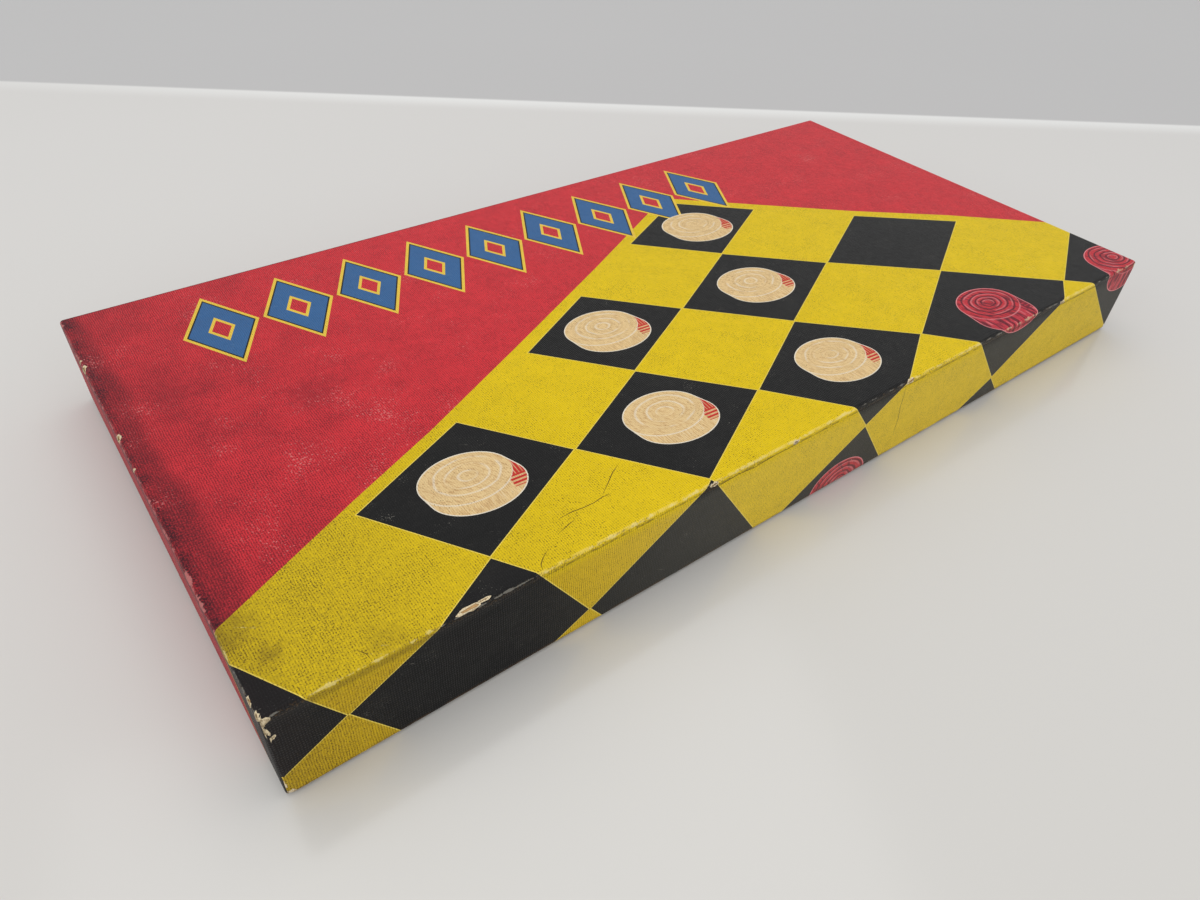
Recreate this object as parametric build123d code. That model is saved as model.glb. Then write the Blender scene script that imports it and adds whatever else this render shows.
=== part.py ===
from build123d import *
import os

# A draughts set in a shallow two-part card box, packed with the lid on.
# Millimetres, +Z up, +X along the box. The origin is the middle of the underside.
# Everything is worked out from the contents: the folded board sets the plan of the
# box, and three draughts in a stack set the depth of its tray.

# Folding board
SQUARE = 40.0  # side of one playing square
SQUARES = 8  # squares along each side of the field
BORDER = 14.25  # plain border round the field
BOARD_CARD = 1.8  # greyboard of each half
BACK_PAPER = 0.2  # covering on the back, turned round three edges
EDGING = 5.0  # width of the covering that is turned onto the face
FACE_PAPER = 0.15  # printed sheet
CLOTH = 0.15  # hinge cloth, let into the greyboard
CLOTH_LEAF = 12.0  # width of the cloth on each half
BEAD_RADIUS = 0.5  # fold of the cloth, on the pivot line
BEAD_CLEARANCE = 0.3  # from that fold to each half

# Draughts
DRAUGHT_DIAMETER = 28.6
DRAUGHT_THICKNESS = 7.8
DRAUGHTS_PER_STACK = 3
STACKS_PER_COLOUR = 4
STACK_GAP = 0.05  # between two draughts of one stack
NEIGHBOUR_GAP = 0.4  # between two stacks, and from the last one to the wall

# Cover papers and box board
COVER_PAPER = 0.25  # embossed paper round the lid and round the tray
STAY_PAPER = 0.15  # strip that ties two walls at a corner
LINING_PAPER = 0.15  # sheet inside the lid and inside the tray
BASE_PAPER = 0.25  # sheet pasted under the tray
LID_CARD = 1.3
TRAY_CARD = 1.3
TURN_IN = 14.0  # cover paper turned over a rim and down inside
TURN_UNDER = 12.0  # cover paper turned under the tray
STAY_LEG = 12.0  # reach of a corner stay along each wall
CORNER_SLIT = 0.2  # between two walls that are folded from one sheet
LINING_MARGIN = 0.6  # from a lining to the walls
BASE_MARGIN = 2.0  # from the base paper to the edge of the tray
EDGE_RADIUS = 1.2  # rounding of the lid's top edges
CORNER_EXTRA = 0.2  # the lid's upright corners are rounded by this much more

# Card insert
INSERT_CARD = 0.6
INSERT_FIT = 0.3  # from the insert to the tray's walls
INSERT_DROP = 0.3  # from the tray's rim down to the top of the insert
TROUGH_FIT = 0.5  # from a draught to each side of the trough

# Fits of the box
TRAY_FIT = 0.6  # from the tray to the lid, on every side
BEAD_FIT = 0.3  # from the board's fold to the lid's back wall
FREE_EDGE_FIT = 0.55  # from the board's free edges to the lid's front wall
BOARD_END_FIT = 4.8  # from the board's ends to the lid's end walls
HEADROOM = 0.35  # from the stacks to the underside of the board
RIM_HEIGHT = 0.8  # of the lid's rim above the table

# Plan of the board, measured from the fold
board_side = SQUARES * SQUARE + 2 * BORDER
half_depth = board_side / 2
seam_setback = BEAD_RADIUS + BEAD_CLEARANCE
half_thickness = BACK_PAPER + BOARD_CARD + FACE_PAPER

# Plan of the lid and the tray
lid_wall = COVER_PAPER + STAY_PAPER + LID_CARD + COVER_PAPER
tray_wall = COVER_PAPER + STAY_PAPER + TRAY_CARD + COVER_PAPER
lid_inner_length = board_side + 2 * BOARD_END_FIT
lid_inner_depth = FREE_EDGE_FIT + half_depth + BEAD_RADIUS + BEAD_FIT
lid_length = lid_inner_length + 2 * lid_wall
lid_depth = lid_inner_depth + 2 * lid_wall
tray_length = lid_inner_length - 2 * TRAY_FIT
tray_depth = lid_inner_depth - 2 * TRAY_FIT
tray_inner_length = tray_length - 2 * tray_wall
tray_inner_depth = tray_depth - 2 * tray_wall
pivot_y = lid_inner_depth / 2 - BEAD_FIT - BEAD_RADIUS
free_edge_y = pivot_y - half_depth
seam_y = pivot_y - seam_setback

# Heights, from the table up
tray_card_z = BASE_PAPER + COVER_PAPER
tray_floor_z = tray_card_z + TRAY_CARD
lined_floor_z = tray_floor_z + LINING_PAPER
trough_floor_z = lined_floor_z + INSERT_CARD
layer_step = DRAUGHT_THICKNESS + STACK_GAP
stack_top_z = trough_floor_z + DRAUGHTS_PER_STACK * layer_step - STACK_GAP
tray_rim_z = stack_top_z + HEADROOM
insert_top_z = tray_rim_z - INSERT_DROP
fold_z = tray_rim_z + half_thickness
board_top_z = fold_z + half_thickness
lid_ceiling_z = board_top_z + LINING_PAPER
lid_card_top_z = lid_ceiling_z + LID_CARD
lid_top_z = lid_card_top_z + COVER_PAPER

MIDDLE_LOW = (Align.CENTER, Align.CENTER, Align.MIN)


def slab(x_range, y_range, z_range):
    """A square-edged solid between three pairs of coordinates."""
    size = [high - low for low, high in (x_range, y_range, z_range)]
    middle = [(low + high) / 2 for low, high in (x_range, y_range, z_range)]
    return Pos(*middle) * Box(*size)


def block(length, depth, z_range, corner_radius=0, edge_radius=0):
    """A centred solid, with rounded upright corners and top edges where asked."""
    solid = Pos(0, 0, z_range[0]) * Box(length, depth, z_range[1] - z_range[0], align=MIDDLE_LOW)
    if corner_radius > 0:
        solid = fillet(solid.edges().filter_by(Axis.Z), corner_radius)
    if edge_radius > 0:
        solid = fillet(solid.faces().sort_by(Axis.Z)[-1].edges(), edge_radius)
    return solid


def lid_block(inset, z_range, corner_radius=0, edge_radius=0):
    """A block that stays an even distance inside the lid's outer faces."""
    return block(lid_length - 2 * inset, lid_depth - 2 * inset, z_range, corner_radius, edge_radius)


def tray_block(inset, z_range, corner_radius=0):
    """A block that stays an even distance inside the tray's outer faces."""
    return block(tray_length - 2 * inset, tray_depth - 2 * inset, z_range, corner_radius)


def corner_boxes(length, depth, reach, z_range):
    """Four square posts over the corners of a plan, to cut corner pieces with."""
    posts = Part()
    for side_x in (-1, 1):
        for side_y in (-1, 1):
            centre = Pos(side_x * length / 2, side_y * depth / 2, z_range[0])
            posts += centre * Box(2 * reach, 2 * reach, z_range[1] - z_range[0], align=MIDDLE_LOW)
    return posts


def corner_slits(inner_length, inner_depth, card, z_range):
    """The cuts that part each end wall from the long walls of a folded sheet."""
    slits = Part()
    for side_x in (-1, 1):
        for side_y in (-1, 1):
            x_middle = side_x * (inner_length + card) / 2
            y_middle = side_y * (inner_depth - CORNER_SLIT) / 2
            place = Pos(x_middle, y_middle, z_range[0])
            slits += place * Box(2 * card, CORNER_SLIT, z_range[1] - z_range[0], align=MIDDLE_LOW)
    return slits


# Insets from the outer face of a wall to each of its layers
paper_inset = COVER_PAPER
card_inset = COVER_PAPER + STAY_PAPER
lid_inner_card_inset = card_inset + LID_CARD
tray_inner_card_inset = card_inset + TRAY_CARD
lid_corner_radius = EDGE_RADIUS + CORNER_EXTRA


def make_lid_board():
    """The lid's stiff card: a top and four walls folded down from it."""
    outside = lid_block(
        card_inset,
        (RIM_HEIGHT + COVER_PAPER, lid_card_top_z),
        lid_corner_radius - card_inset,
        EDGE_RADIUS - card_inset,
    )
    cavity_z = (RIM_HEIGHT, lid_ceiling_z)
    cavity = lid_block(lid_inner_card_inset, cavity_z)
    slits = corner_slits(
        lid_length - 2 * lid_inner_card_inset,
        lid_depth - 2 * lid_inner_card_inset,
        LID_CARD,
        cavity_z,
    )
    return outside - cavity - slits


def make_lid_wrap():
    """The printed cover paper, round the lid, under its rim and up inside."""
    outside = lid_block(0, (RIM_HEIGHT, lid_top_z), lid_corner_radius, EDGE_RADIUS)
    room_z = (RIM_HEIGHT + COVER_PAPER, lid_card_top_z)
    room = lid_block(paper_inset, room_z, lid_corner_radius - COVER_PAPER, EDGE_RADIUS - COVER_PAPER)
    turn_z = (RIM_HEIGHT, RIM_HEIGHT + TURN_IN)
    turned = lid_block(lid_inner_card_inset, turn_z)
    mouth = lid_block(lid_wall, turn_z)
    return outside - room + turned - mouth


def make_lid_stays():
    """Paper strips round the lid's four upright corners, between card and cover."""
    stay_z = (RIM_HEIGHT + COVER_PAPER, lid_top_z - EDGE_RADIUS)
    ring = lid_block(paper_inset, stay_z, lid_corner_radius - paper_inset)
    ring -= lid_block(card_inset, stay_z, lid_corner_radius - card_inset)
    return ring & corner_boxes(
        lid_length - 2 * paper_inset, lid_depth - 2 * paper_inset, STAY_LEG, stay_z
    )


def make_lid_lining():
    """The sheet pasted under the lid's top."""
    return lid_block(lid_inner_card_inset + LINING_MARGIN, (board_top_z, lid_ceiling_z))


def make_tray_board():
    """The tray's stiff card: a floor and four walls folded up from it."""
    outside = tray_block(card_inset, (tray_card_z, tray_rim_z - COVER_PAPER))
    cavity_z = (tray_floor_z, tray_rim_z)
    cavity = tray_block(tray_inner_card_inset, cavity_z)
    slits = corner_slits(
        tray_length - 2 * tray_inner_card_inset,
        tray_depth - 2 * tray_inner_card_inset,
        TRAY_CARD,
        cavity_z,
    )
    return outside - cavity - slits


def make_tray_wrap():
    """The cover paper round the tray, over its rim, down inside and under the floor."""
    outside = tray_block(0, (BASE_PAPER, tray_rim_z), card_inset)
    room_z = (tray_card_z, tray_rim_z - COVER_PAPER)
    room = tray_block(paper_inset, room_z, STAY_PAPER)
    turn_z = (tray_rim_z - TURN_IN, tray_rim_z)
    turned = tray_block(tray_inner_card_inset, turn_z)
    mouth = tray_block(tray_wall, turn_z)
    window = tray_block(TURN_UNDER, (0, tray_card_z))
    return outside - room + turned - mouth - window


def make_tray_stays():
    """Paper strips round the tray's four upright corners, between card and cover."""
    stay_z = (tray_card_z, tray_rim_z - COVER_PAPER)
    ring = tray_block(paper_inset, stay_z, STAY_PAPER) - tray_block(card_inset, stay_z)
    return ring & corner_boxes(
        tray_length - 2 * paper_inset, tray_depth - 2 * paper_inset, STAY_LEG, stay_z
    )


def make_tray_lining():
    """The sheet pasted on the tray's floor."""
    return tray_block(tray_inner_card_inset + LINING_MARGIN, (tray_floor_z, lined_floor_z))


def make_tray_base_paper():
    """The plain sheet under the tray, over the turned edges. The set stands on it."""
    return tray_block(BASE_MARGIN, (0, BASE_PAPER))


def make_insert_card():
    """One creased card: two platforms with legs, and a trough between them for the draughts.

    Each crease is sharp inside, so the card bends round it at its own thickness.
    """
    leg_y = tray_inner_depth / 2 - INSERT_FIT
    trough_y = DRAUGHT_DIAMETER / 2 + TROUGH_FIT

    def crease_line(depth, edge_radius, trough_radius):
        """The card's run across the tray, a depth below its upper surface."""
        leg = leg_y - depth
        top = insert_top_z - depth
        side = trough_y + depth
        floor = trough_floor_z - depth
        run = [(leg, lined_floor_z), (leg, top), (side, top), (side, floor)]
        points = run + [(-y, z) for y, z in reversed(run)]
        radii = [edge_radius, edge_radius, trough_radius]
        return Plane.YZ * FilletPolyline(*points, radius=radii + radii[::-1])

    upper = crease_line(0, INSERT_CARD, 0)
    lower = crease_line(INSERT_CARD, 0, INSERT_CARD)
    feet = [Line(upper @ end, lower @ end) for end in (0, 1)]
    section = make_face(Curve() + upper + lower + feet)
    return extrude(section, tray_inner_length / 2 - INSERT_FIT, both=True)


def board_half():
    """The lower half of the folding board: its card, back paper, face paper and cloth."""
    half_length = board_side / 2
    back_z = tray_rim_z
    card_z = (back_z + BACK_PAPER, fold_z - FACE_PAPER)
    face_z = (card_z[1], fold_z)
    leaf_z = (card_z[1] - CLOTH, card_z[1])
    window_x = (EDGING - half_length, half_length - EDGING)
    leaf_start = seam_y - CLOTH_LEAF

    card_x = (BACK_PAPER - half_length, half_length - BACK_PAPER)
    card_y = (free_edge_y + BACK_PAPER, seam_y)
    solid_card = slab(card_x, card_y, card_z)
    face_room = slab(window_x, (free_edge_y + EDGING, seam_y), face_z)
    back = slab((-half_length, half_length), (free_edge_y, seam_y), (back_z, fold_z))
    back = back - solid_card - face_room
    leaf = slab(window_x, (leaf_start, seam_y), leaf_z)
    return solid_card - leaf, back, face_room, leaf


def make_fold():
    """The rolled fold of the hinge cloth, and its reach to the lower leaf."""
    half_length = board_side / 2 - EDGING
    bead = Pos(0, pivot_y, fold_z) * Rot(0, 90, 0) * Cylinder(BEAD_RADIUS, 2 * half_length)
    leaf_top = fold_z - FACE_PAPER
    reach = slab((-half_length, half_length), (seam_y, pivot_y), (leaf_top - CLOTH, leaf_top))
    return bead + reach


def make_draughts():
    """Twelve light and twelve red draughts, stacked from the two ends of the trough."""
    blank = Cylinder(DRAUGHT_DIAMETER / 2, DRAUGHT_THICKNESS, align=MIDDLE_LOW)
    pitch = DRAUGHT_DIAMETER + NEIGHBOUR_GAP
    first_x = tray_inner_length / 2 - NEIGHBOUR_GAP - DRAUGHT_DIAMETER / 2
    draughts = {}
    for colour, side in (("light", -1), ("red", 1)):
        for stack in range(STACKS_PER_COLOUR):
            for layer in range(DRAUGHTS_PER_STACK):
                number = stack * DRAUGHTS_PER_STACK + layer + 1
                place = Pos(side * (first_x - stack * pitch), 0, trough_floor_z + layer * layer_step)
                draughts[f"draught_{colour}_{number:02d}"] = place * blank
    return draughts


def make_board():
    """The folding board, shut: the upper half mirrors the lower one about the fold."""
    names = ("card", "back", "face")
    *sheets, leaf = board_half()
    pieces = {f"board_lower_{name}": sheet for name, sheet in zip(names, sheets)}
    fold_plane = Plane.XY.offset(fold_z)
    for name, sheet in zip(names, sheets):
        pieces[f"board_upper_{name}"] = mirror(sheet, fold_plane)
    pieces["board_hinge_cloth"] = leaf + make_fold()
    pieces["board_hinge_leaf"] = mirror(leaf, fold_plane)
    return pieces


nodes = {
    "lid_board": make_lid_board(),
    "lid_corner_stays": make_lid_stays(),
    "lid_wrap": make_lid_wrap(),
    "lid_lining": make_lid_lining(),
    "tray_board": make_tray_board(),
    "tray_corner_stays": make_tray_stays(),
    "tray_wrap": make_tray_wrap(),
    "tray_lining": make_tray_lining(),
    "tray_base_paper": make_tray_base_paper(),
    "insert_card": make_insert_card(),
    **make_board(),
    **make_draughts(),
}

os.makedirs("parts", exist_ok=True)
for name, solid in nodes.items():
    export_step(solid, f"parts/{name}.step")
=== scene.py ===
"""Looks of the boxed draughts set: the printed lid cover, the folding board and the turned draughts."""
import math
import random

import bpy
from mathutils import Matrix, Vector
from mathutils.geometry import delaunay_2d_cdt


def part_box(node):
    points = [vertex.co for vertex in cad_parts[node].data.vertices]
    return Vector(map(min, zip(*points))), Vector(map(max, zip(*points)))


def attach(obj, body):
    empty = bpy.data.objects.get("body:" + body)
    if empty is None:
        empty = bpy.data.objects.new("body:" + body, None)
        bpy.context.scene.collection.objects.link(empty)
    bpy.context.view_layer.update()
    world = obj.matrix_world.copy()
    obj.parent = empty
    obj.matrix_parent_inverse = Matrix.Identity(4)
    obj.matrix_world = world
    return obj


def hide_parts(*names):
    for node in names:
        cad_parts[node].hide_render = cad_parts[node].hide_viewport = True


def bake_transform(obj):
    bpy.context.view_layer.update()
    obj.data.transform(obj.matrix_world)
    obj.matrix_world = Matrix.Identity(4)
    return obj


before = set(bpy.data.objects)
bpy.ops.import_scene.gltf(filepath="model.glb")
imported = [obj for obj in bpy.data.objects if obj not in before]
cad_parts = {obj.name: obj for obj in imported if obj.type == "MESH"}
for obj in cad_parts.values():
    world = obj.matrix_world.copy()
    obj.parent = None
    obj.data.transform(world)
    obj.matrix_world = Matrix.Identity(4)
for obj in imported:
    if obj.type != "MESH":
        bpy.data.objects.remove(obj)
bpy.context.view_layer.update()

MM = 0.001
TURN = 2 * math.pi
NEARLY = 1e-6


def add_to_scene(name, data):
    thing = bpy.data.objects.new(name, data)
    bpy.context.scene.collection.objects.link(thing)
    return thing


def box_in_mm(node):
    return tuple(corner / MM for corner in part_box(node))


def linear(red, green, blue):
    """A colour given as it looks on a screen, 0 to 255, as the shader takes it."""
    def channel(value):
        value /= 255.0
        return value / 12.92 if value <= 0.04045 else ((value + 0.055) / 1.055) ** 2.4
    return (channel(red), channel(green), channel(blue), 1.0)


# the camera, where the photograph was taken from

SENSOR_WIDTH = 36.0
LENS = 25.509
CAMERA_PLACE = Vector((-0.18747, -0.20290, 0.19213))
CAMERA_RIGHT = Vector((0.79912, -0.59932, 0.04714))
CAMERA_AHEAD = Vector((0.47637, 0.58345, -0.65777))


def set_up_camera():
    """A phone's wide lens, close over the near left corner of the box."""
    lens = bpy.data.cameras.new("photo_view")
    lens.sensor_width = SENSOR_WIDTH
    lens.lens = LENS
    lens.clip_start = 0.01
    camera = add_to_scene("photo_view", lens)
    right = CAMERA_RIGHT.normalized()
    ahead = CAMERA_AHEAD.normalized()
    turn = Matrix((right, right.cross(ahead), -ahead)).transposed().to_4x4()
    camera.matrix_world = Matrix.Translation(CAMERA_PLACE) @ turn
    bpy.context.scene.camera = camera


# laying out shader nodes

GROUPS = {}
MATERIALS = {}


class Bench:
    """Lays out the nodes of one material or group. Each method gives back an output socket."""

    def __init__(self, tree):
        self.tree = tree

    def add(self, kind, inputs=(), out=0, **settings):
        node = self.tree.nodes.new(kind)
        for name, value in settings.items():
            setattr(node, name, value)
        for key, value in dict(inputs).items():
            self.feed(node.inputs[key], value)
        return node.outputs[out]

    def feed(self, socket, value):
        if isinstance(value, bpy.types.NodeSocket):
            self.tree.links.new(value, socket)
        else:
            socket.default_value = value

    def maths(self, operation, first, second=0.0, third=0.0):
        return self.add("ShaderNodeMath", {0: first, 1: second, 2: third}, operation=operation)

    def times(self, first, *others):
        for other in others:
            first = self.maths("MULTIPLY", first, other)
        return first

    def plus(self, first, *others):
        for other in others:
            first = self.maths("ADD", first, other)
        return first

    def minus(self, first, second):
        return self.maths("SUBTRACT", first, second)

    def over(self, first, second):
        return self.maths("DIVIDE", first, second)

    def larger(self, first, second):
        return self.maths("MAXIMUM", first, second)

    def smaller(self, first, second):
        return self.maths("MINIMUM", first, second)

    def positive(self, value):
        return self.maths("ABSOLUTE", value)

    def off(self, value, level):
        """How far a value is from a level, either way."""
        return self.positive(self.minus(value, level))

    def wave(self, value, rate):
        return self.maths("SINE", self.times(value, rate))

    def distance(self, place, point):
        return self.add("ShaderNodeVectorMath", {0: place, 1: point}, out=1, operation="DISTANCE")

    def scaled(self, vector, scale):
        return self.add("ShaderNodeVectorMath", {0: vector, 1: scale}, operation="MULTIPLY")

    def shifted(self, vector, shift):
        return self.add("ShaderNodeVectorMath", {0: vector, 1: shift}, operation="SUBTRACT")

    def turned(self, place, angle):
        return self.add("ShaderNodeVectorRotate", {"Vector": place, "Angle": angle}, rotation_type="Z_AXIS")

    def joined(self, x, y, z):
        return self.add("ShaderNodeCombineXYZ", {0: x, 1: y, 2: z})

    def axes(self, place):
        node = self.tree.nodes.new("ShaderNodeSeparateXYZ")
        self.feed(node.inputs[0], place)
        return node.outputs[0], node.outputs[1], node.outputs[2]

    def fade(self, value, start, end, low=0.0, high=1.0):
        """Low up to the start, high from the end on, and smooth between them."""
        return self.add("ShaderNodeMapRange", {0: value, 1: start, 2: end, 3: low, 4: high},
                        interpolation_type="SMOOTHSTEP")

    def cloud(self, place, scale, detail=3.0, roughness=0.55, warp=0.0):
        return self.add("ShaderNodeTexNoise", {"Vector": place, "Scale": scale, "Detail": detail,
                                               "Roughness": roughness, "Distortion": warp})

    def patches(self, place, scale, detail, roughness, start, end, low=0.0, high=1.0):
        """Cloudy patches: low where the cloud is under the start, high where it is over the end."""
        return self.fade(self.cloud(place, scale, detail, roughness), start, end, low, high)

    def mixed(self, mask, under, over, way="MIX"):
        return self.add("ShaderNodeMix", {0: mask, 6: under, 7: over}, out=2,
                        data_type="RGBA", blend_type=way)

    def laid(self, ground, colour, mask, strength):
        """A colour laid over the ground where the mask is, and no more than its strength."""
        return self.mixed(self.times(mask, strength), ground, colour)

    def grey(self, value):
        return self.add("ShaderNodeCombineColor", {0: value, 1: value, 2: value})

    def shaded(self, ground, tone):
        """The ground made lighter or darker by a tone around one."""
        return self.mixed(1.0, ground, self.grey(tone), "MULTIPLY")

    def group(self, name, place, **inputs):
        """One of the groups below, placed with its own values."""
        node = self.tree.nodes.new("ShaderNodeGroup")
        node.node_tree = GROUPS[name]
        for key, value in {"Place": place, **inputs}.items():
            self.feed(node.inputs[key], value)
        return node.outputs[0]


def new_material(name):
    material = bpy.data.materials.new(name)
    material.use_nodes = True
    MATERIALS[name] = material
    return Bench(material.node_tree), material.node_tree.nodes["Principled BSDF"]


def finish_surface(b, shader, colour, roughness, relief, depth, shine=0.5):
    """Gives the shader its colour, roughness and relief, with the relief's depth in mm."""
    b.feed(shader.inputs["Base Color"], colour)
    b.feed(shader.inputs["Roughness"], roughness)
    shader.inputs["Specular IOR Level"].default_value = shine
    normal = b.add("ShaderNodeBump", {"Height": relief, "Distance": depth * MM, "Strength": 1.0})
    b.feed(shader.inputs["Normal"], normal)


# the effects that several materials share. Each is a group of nodes, made once from its recipe.

ORIGIN = (0.0, 0.0, 0.0)
RIB_PITCH = 0.65
WEAVE_PITCH = 1.3


def shared(output, **inputs):
    """Makes the recipe under it into a shader node group of its name, with named sockets."""
    def make(recipe):
        sockets = {"Place": ORIGIN, **inputs}
        tree = bpy.data.node_groups.new(recipe.__name__, "ShaderNodeTree")
        for label, value in sockets.items():
            kind = "NodeSocketVector" if isinstance(value, tuple) else "NodeSocketFloat"
            socket = tree.interface.new_socket(name=label, in_out="INPUT", socket_type=kind)
            socket.default_value = value
        kind = "NodeSocketColor" if output == "Color" else "NodeSocketFloat"
        tree.interface.new_socket(name=output, in_out="OUTPUT", socket_type=kind)
        entry = tree.nodes.new("NodeGroupInput")
        end = tree.nodes.new("NodeGroupOutput")
        given = {label.lower(): entry.outputs[label] for label in sockets}
        tree.links.new(recipe(Bench(tree), **given), end.inputs[output])
        GROUPS[recipe.__name__] = tree
        return recipe
    return make


@shared("Height", Pitch=RIB_PITCH, Cross=0.3)
def linen_threads(b, place, pitch, cross):
    """Threads pressed into the paper: ribs one way, a weaker weave across them."""
    x, y, _ = b.axes(place)
    drift = b.cloud(place, 0.11, 2.0)
    wobble = b.cloud(place, 0.8, 2.0)
    slub = b.cloud(b.scaled(place, (2.2, 0.35, 1.0)), 0.9, 4.0)
    along = b.over(b.plus(x, b.plus(b.times(drift, 0.9), b.times(wobble, 0.5))), pitch)
    across = b.over(b.plus(y, b.times(b.plus(drift, wobble), 0.8)), b.times(pitch, WEAVE_PITCH))
    rib = b.maths("MULTIPLY_ADD", b.wave(along, TURN), 0.5, 0.5)
    weave = b.maths("MULTIPLY_ADD", b.wave(across, TURN), 0.5, 0.5)
    threads = b.plus(b.times(rib, 0.42), b.times(rib, weave, cross))
    press = b.patches(place, 0.4, 4.0, 0.65, 0.36, 0.64, 0.7, 1.2)
    return b.plus(b.times(threads, press), b.times(slub, 0.55))


@shared("Mask", Away=0.0, Reach=1.0)
def rubbed_edges(b, place, away, reach):
    """Where edges are rubbed: a ragged strip along each, by the distance away from the edge."""
    ragged_reach = b.times(reach, b.patches(place, 0.22, 6.0, 0.7, 0.42, 0.72, 0.05, 1.6))
    return b.fade(b.minus(ragged_reach, away), 0.0, b.times(reach, 0.5))


@shared("Mask", Spot=1.0, Amount=0.5, Softness=0.08)
def speckle(b, place, spot, amount, softness):
    """Small dirt or bare spots, thick in some places and missing in others."""
    fine = b.cloud(place, b.over(1.0, spot), 4.0, 0.65)
    wide = b.cloud(place, b.over(0.045, spot))
    level = b.plus(fine, b.times(b.minus(wide, 0.5), 0.5))
    start = b.minus(0.86, b.times(amount, 0.45))
    return b.fade(level, start, b.plus(start, softness))


@shared("Mask", Spacing=20.0, Width=0.15)
def hair_cracks(b, place, spacing, width):
    """Hair cracks in a dry printed film."""
    bend = b.add("ShaderNodeTexNoise", {"Vector": place, "Scale": 0.3, "Detail": 4.0}, out=1)
    bent = b.add("ShaderNodeVectorMath", {0: bend, 1: (5.0, 5.0, 5.0), 2: place}, operation="MULTIPLY_ADD")
    edge = b.add("ShaderNodeTexVoronoi", {"Vector": bent, "Scale": b.over(1.0, spacing)},
                 feature="DISTANCE_TO_EDGE")
    line = b.minus(1.0, b.fade(edge, 0.0, b.over(width, spacing)))
    return b.times(line, b.patches(place, 0.05, 3.0, 0.55, 0.55, 0.68))


@shared("Tone", Grain=1.0, Swing=0.3)
def mottle(b, place, grain, swing):
    """Slow and quick changes of tone in paper, ink or stain, around one."""
    slow = b.cloud(place, b.over(0.12, grain), 4.0)
    quick = b.cloud(place, b.over(1.4, grain), 3.0, 0.6)
    change = b.plus(b.times(slow, 0.6), b.times(quick, 0.4))
    return b.plus(1.0, b.times(b.minus(change, 0.5), swing))


@shared("Height", Scale=1.6, Rough=0.7)
def felt(b, place, scale, rough):
    """The fibrous face of board, paper or printed film."""
    return b.cloud(place, scale, 5.0, rough)


# the lid cover's sheet and its folds, in mm

LID_LOW, LID_HIGH = box_in_mm("lid_wrap")
HALF_LENGTH = LID_HIGH.x
HALF_DEPTH = LID_HIGH.y
EDGE_RADIUS = 1.2
WALL = 1.95
COVER_PAPER = 0.25
RIM_RADIUS = 0.5
TURN_IN = 14.0
# how far inside the rim the print still reaches
PRINTED_TURN_IN = 6.0
ARC_STEPS = 5
CORNER_STEPS = 8
# the lid's corners, each with the angle where its quarter turn starts
CORNERS = ((1, 1, 0), (-1, 1, 90), (-1, -1, 180), (1, -1, 270))

SHEET_LENGTH = 460.0
SHEET_DEPTH = 278.0


def wall_profile():
    """The cover's run from the top down the wall, round the rim and up inside it.

    Each entry is the distance along the paper, the distance out from the inset rectangle, the
    height, and how far out and how far up the paper faces there."""
    profile = []
    length = 0.0
    top = LID_HIGH.z
    foot = LID_LOW.z

    def arc(out, height, radius, start, end):
        nonlocal length
        begin = length
        for step in range(ARC_STEPS + 1):
            angle = math.radians(start + (end - start) * step / ARC_STEPS)
            outward, upward = math.sin(angle), math.cos(angle)
            length = begin + radius * math.radians(abs(end - start)) * step / ARC_STEPS
            profile.append((length, out + radius * outward, height + radius * upward, outward, upward))

    arc(0.0, top - EDGE_RADIUS, EDGE_RADIUS, 0, 90)
    length += (top - EDGE_RADIUS) - (foot + RIM_RADIUS)
    arc(EDGE_RADIUS - RIM_RADIUS, foot + RIM_RADIUS, RIM_RADIUS, 90, 180)
    length += WALL - 2 * RIM_RADIUS
    arc(EDGE_RADIUS - WALL + RIM_RADIUS, foot + RIM_RADIUS, RIM_RADIUS, 180, 270)
    length += TURN_IN - RIM_RADIUS
    profile.append((length, EDGE_RADIUS - WALL, foot + TURN_IN, -1.0, 0.0))
    return profile


PROFILE = wall_profile()
RUN = PROFILE[-1][0]
PRINTED_RUN = RUN - TURN_IN + PRINTED_TURN_IN
INSET = Vector((HALF_LENGTH - EDGE_RADIUS, HALF_DEPTH - EDGE_RADIUS))


def along_profile(distance):
    """Out, height and facing at a distance along the wall's run."""
    for before, after in zip(PROFILE, PROFILE[1:]):
        if distance <= after[0] + 1e-9:
            run = after[0] - before[0]
            share = 0.0 if run < 1e-9 else max(0.0, (distance - before[0]) / run)
            return [start + (end - start) * share for start, end in zip(before[1:], after[1:])]
    return PROFILE[-1][1:]


def held_within(point, room):
    return Vector((max(-room.x, min(room.x, point.x)), max(-room.y, min(room.y, point.y))))


def split_sheet_point(point):
    """The nearest point of the inset rectangle, and how far and which way the sheet goes on."""
    held = held_within(point, INSET)
    beyond = point - held
    return held, beyond.length, (beyond.normalized() if beyond.length > NEARLY else Vector((0.0, 0.0)))


def fold(point):
    """Where a point of the flat sheet lies on the lid, in mm, and the way it faces."""
    held, distance, way = split_sheet_point(point)
    if distance < NEARLY:
        return Vector((point.x, point.y, LID_HIGH.z)), Vector((0, 0, 1))
    out, height, outward, upward = along_profile(distance)
    flat = held + way * out if out >= 0 else held_within(held, INSET + Vector((out, out)))
    facing = Vector((way.x * outward, way.y * outward, upward))
    return Vector((flat.x, flat.y, height)), facing.normalized()


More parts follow.
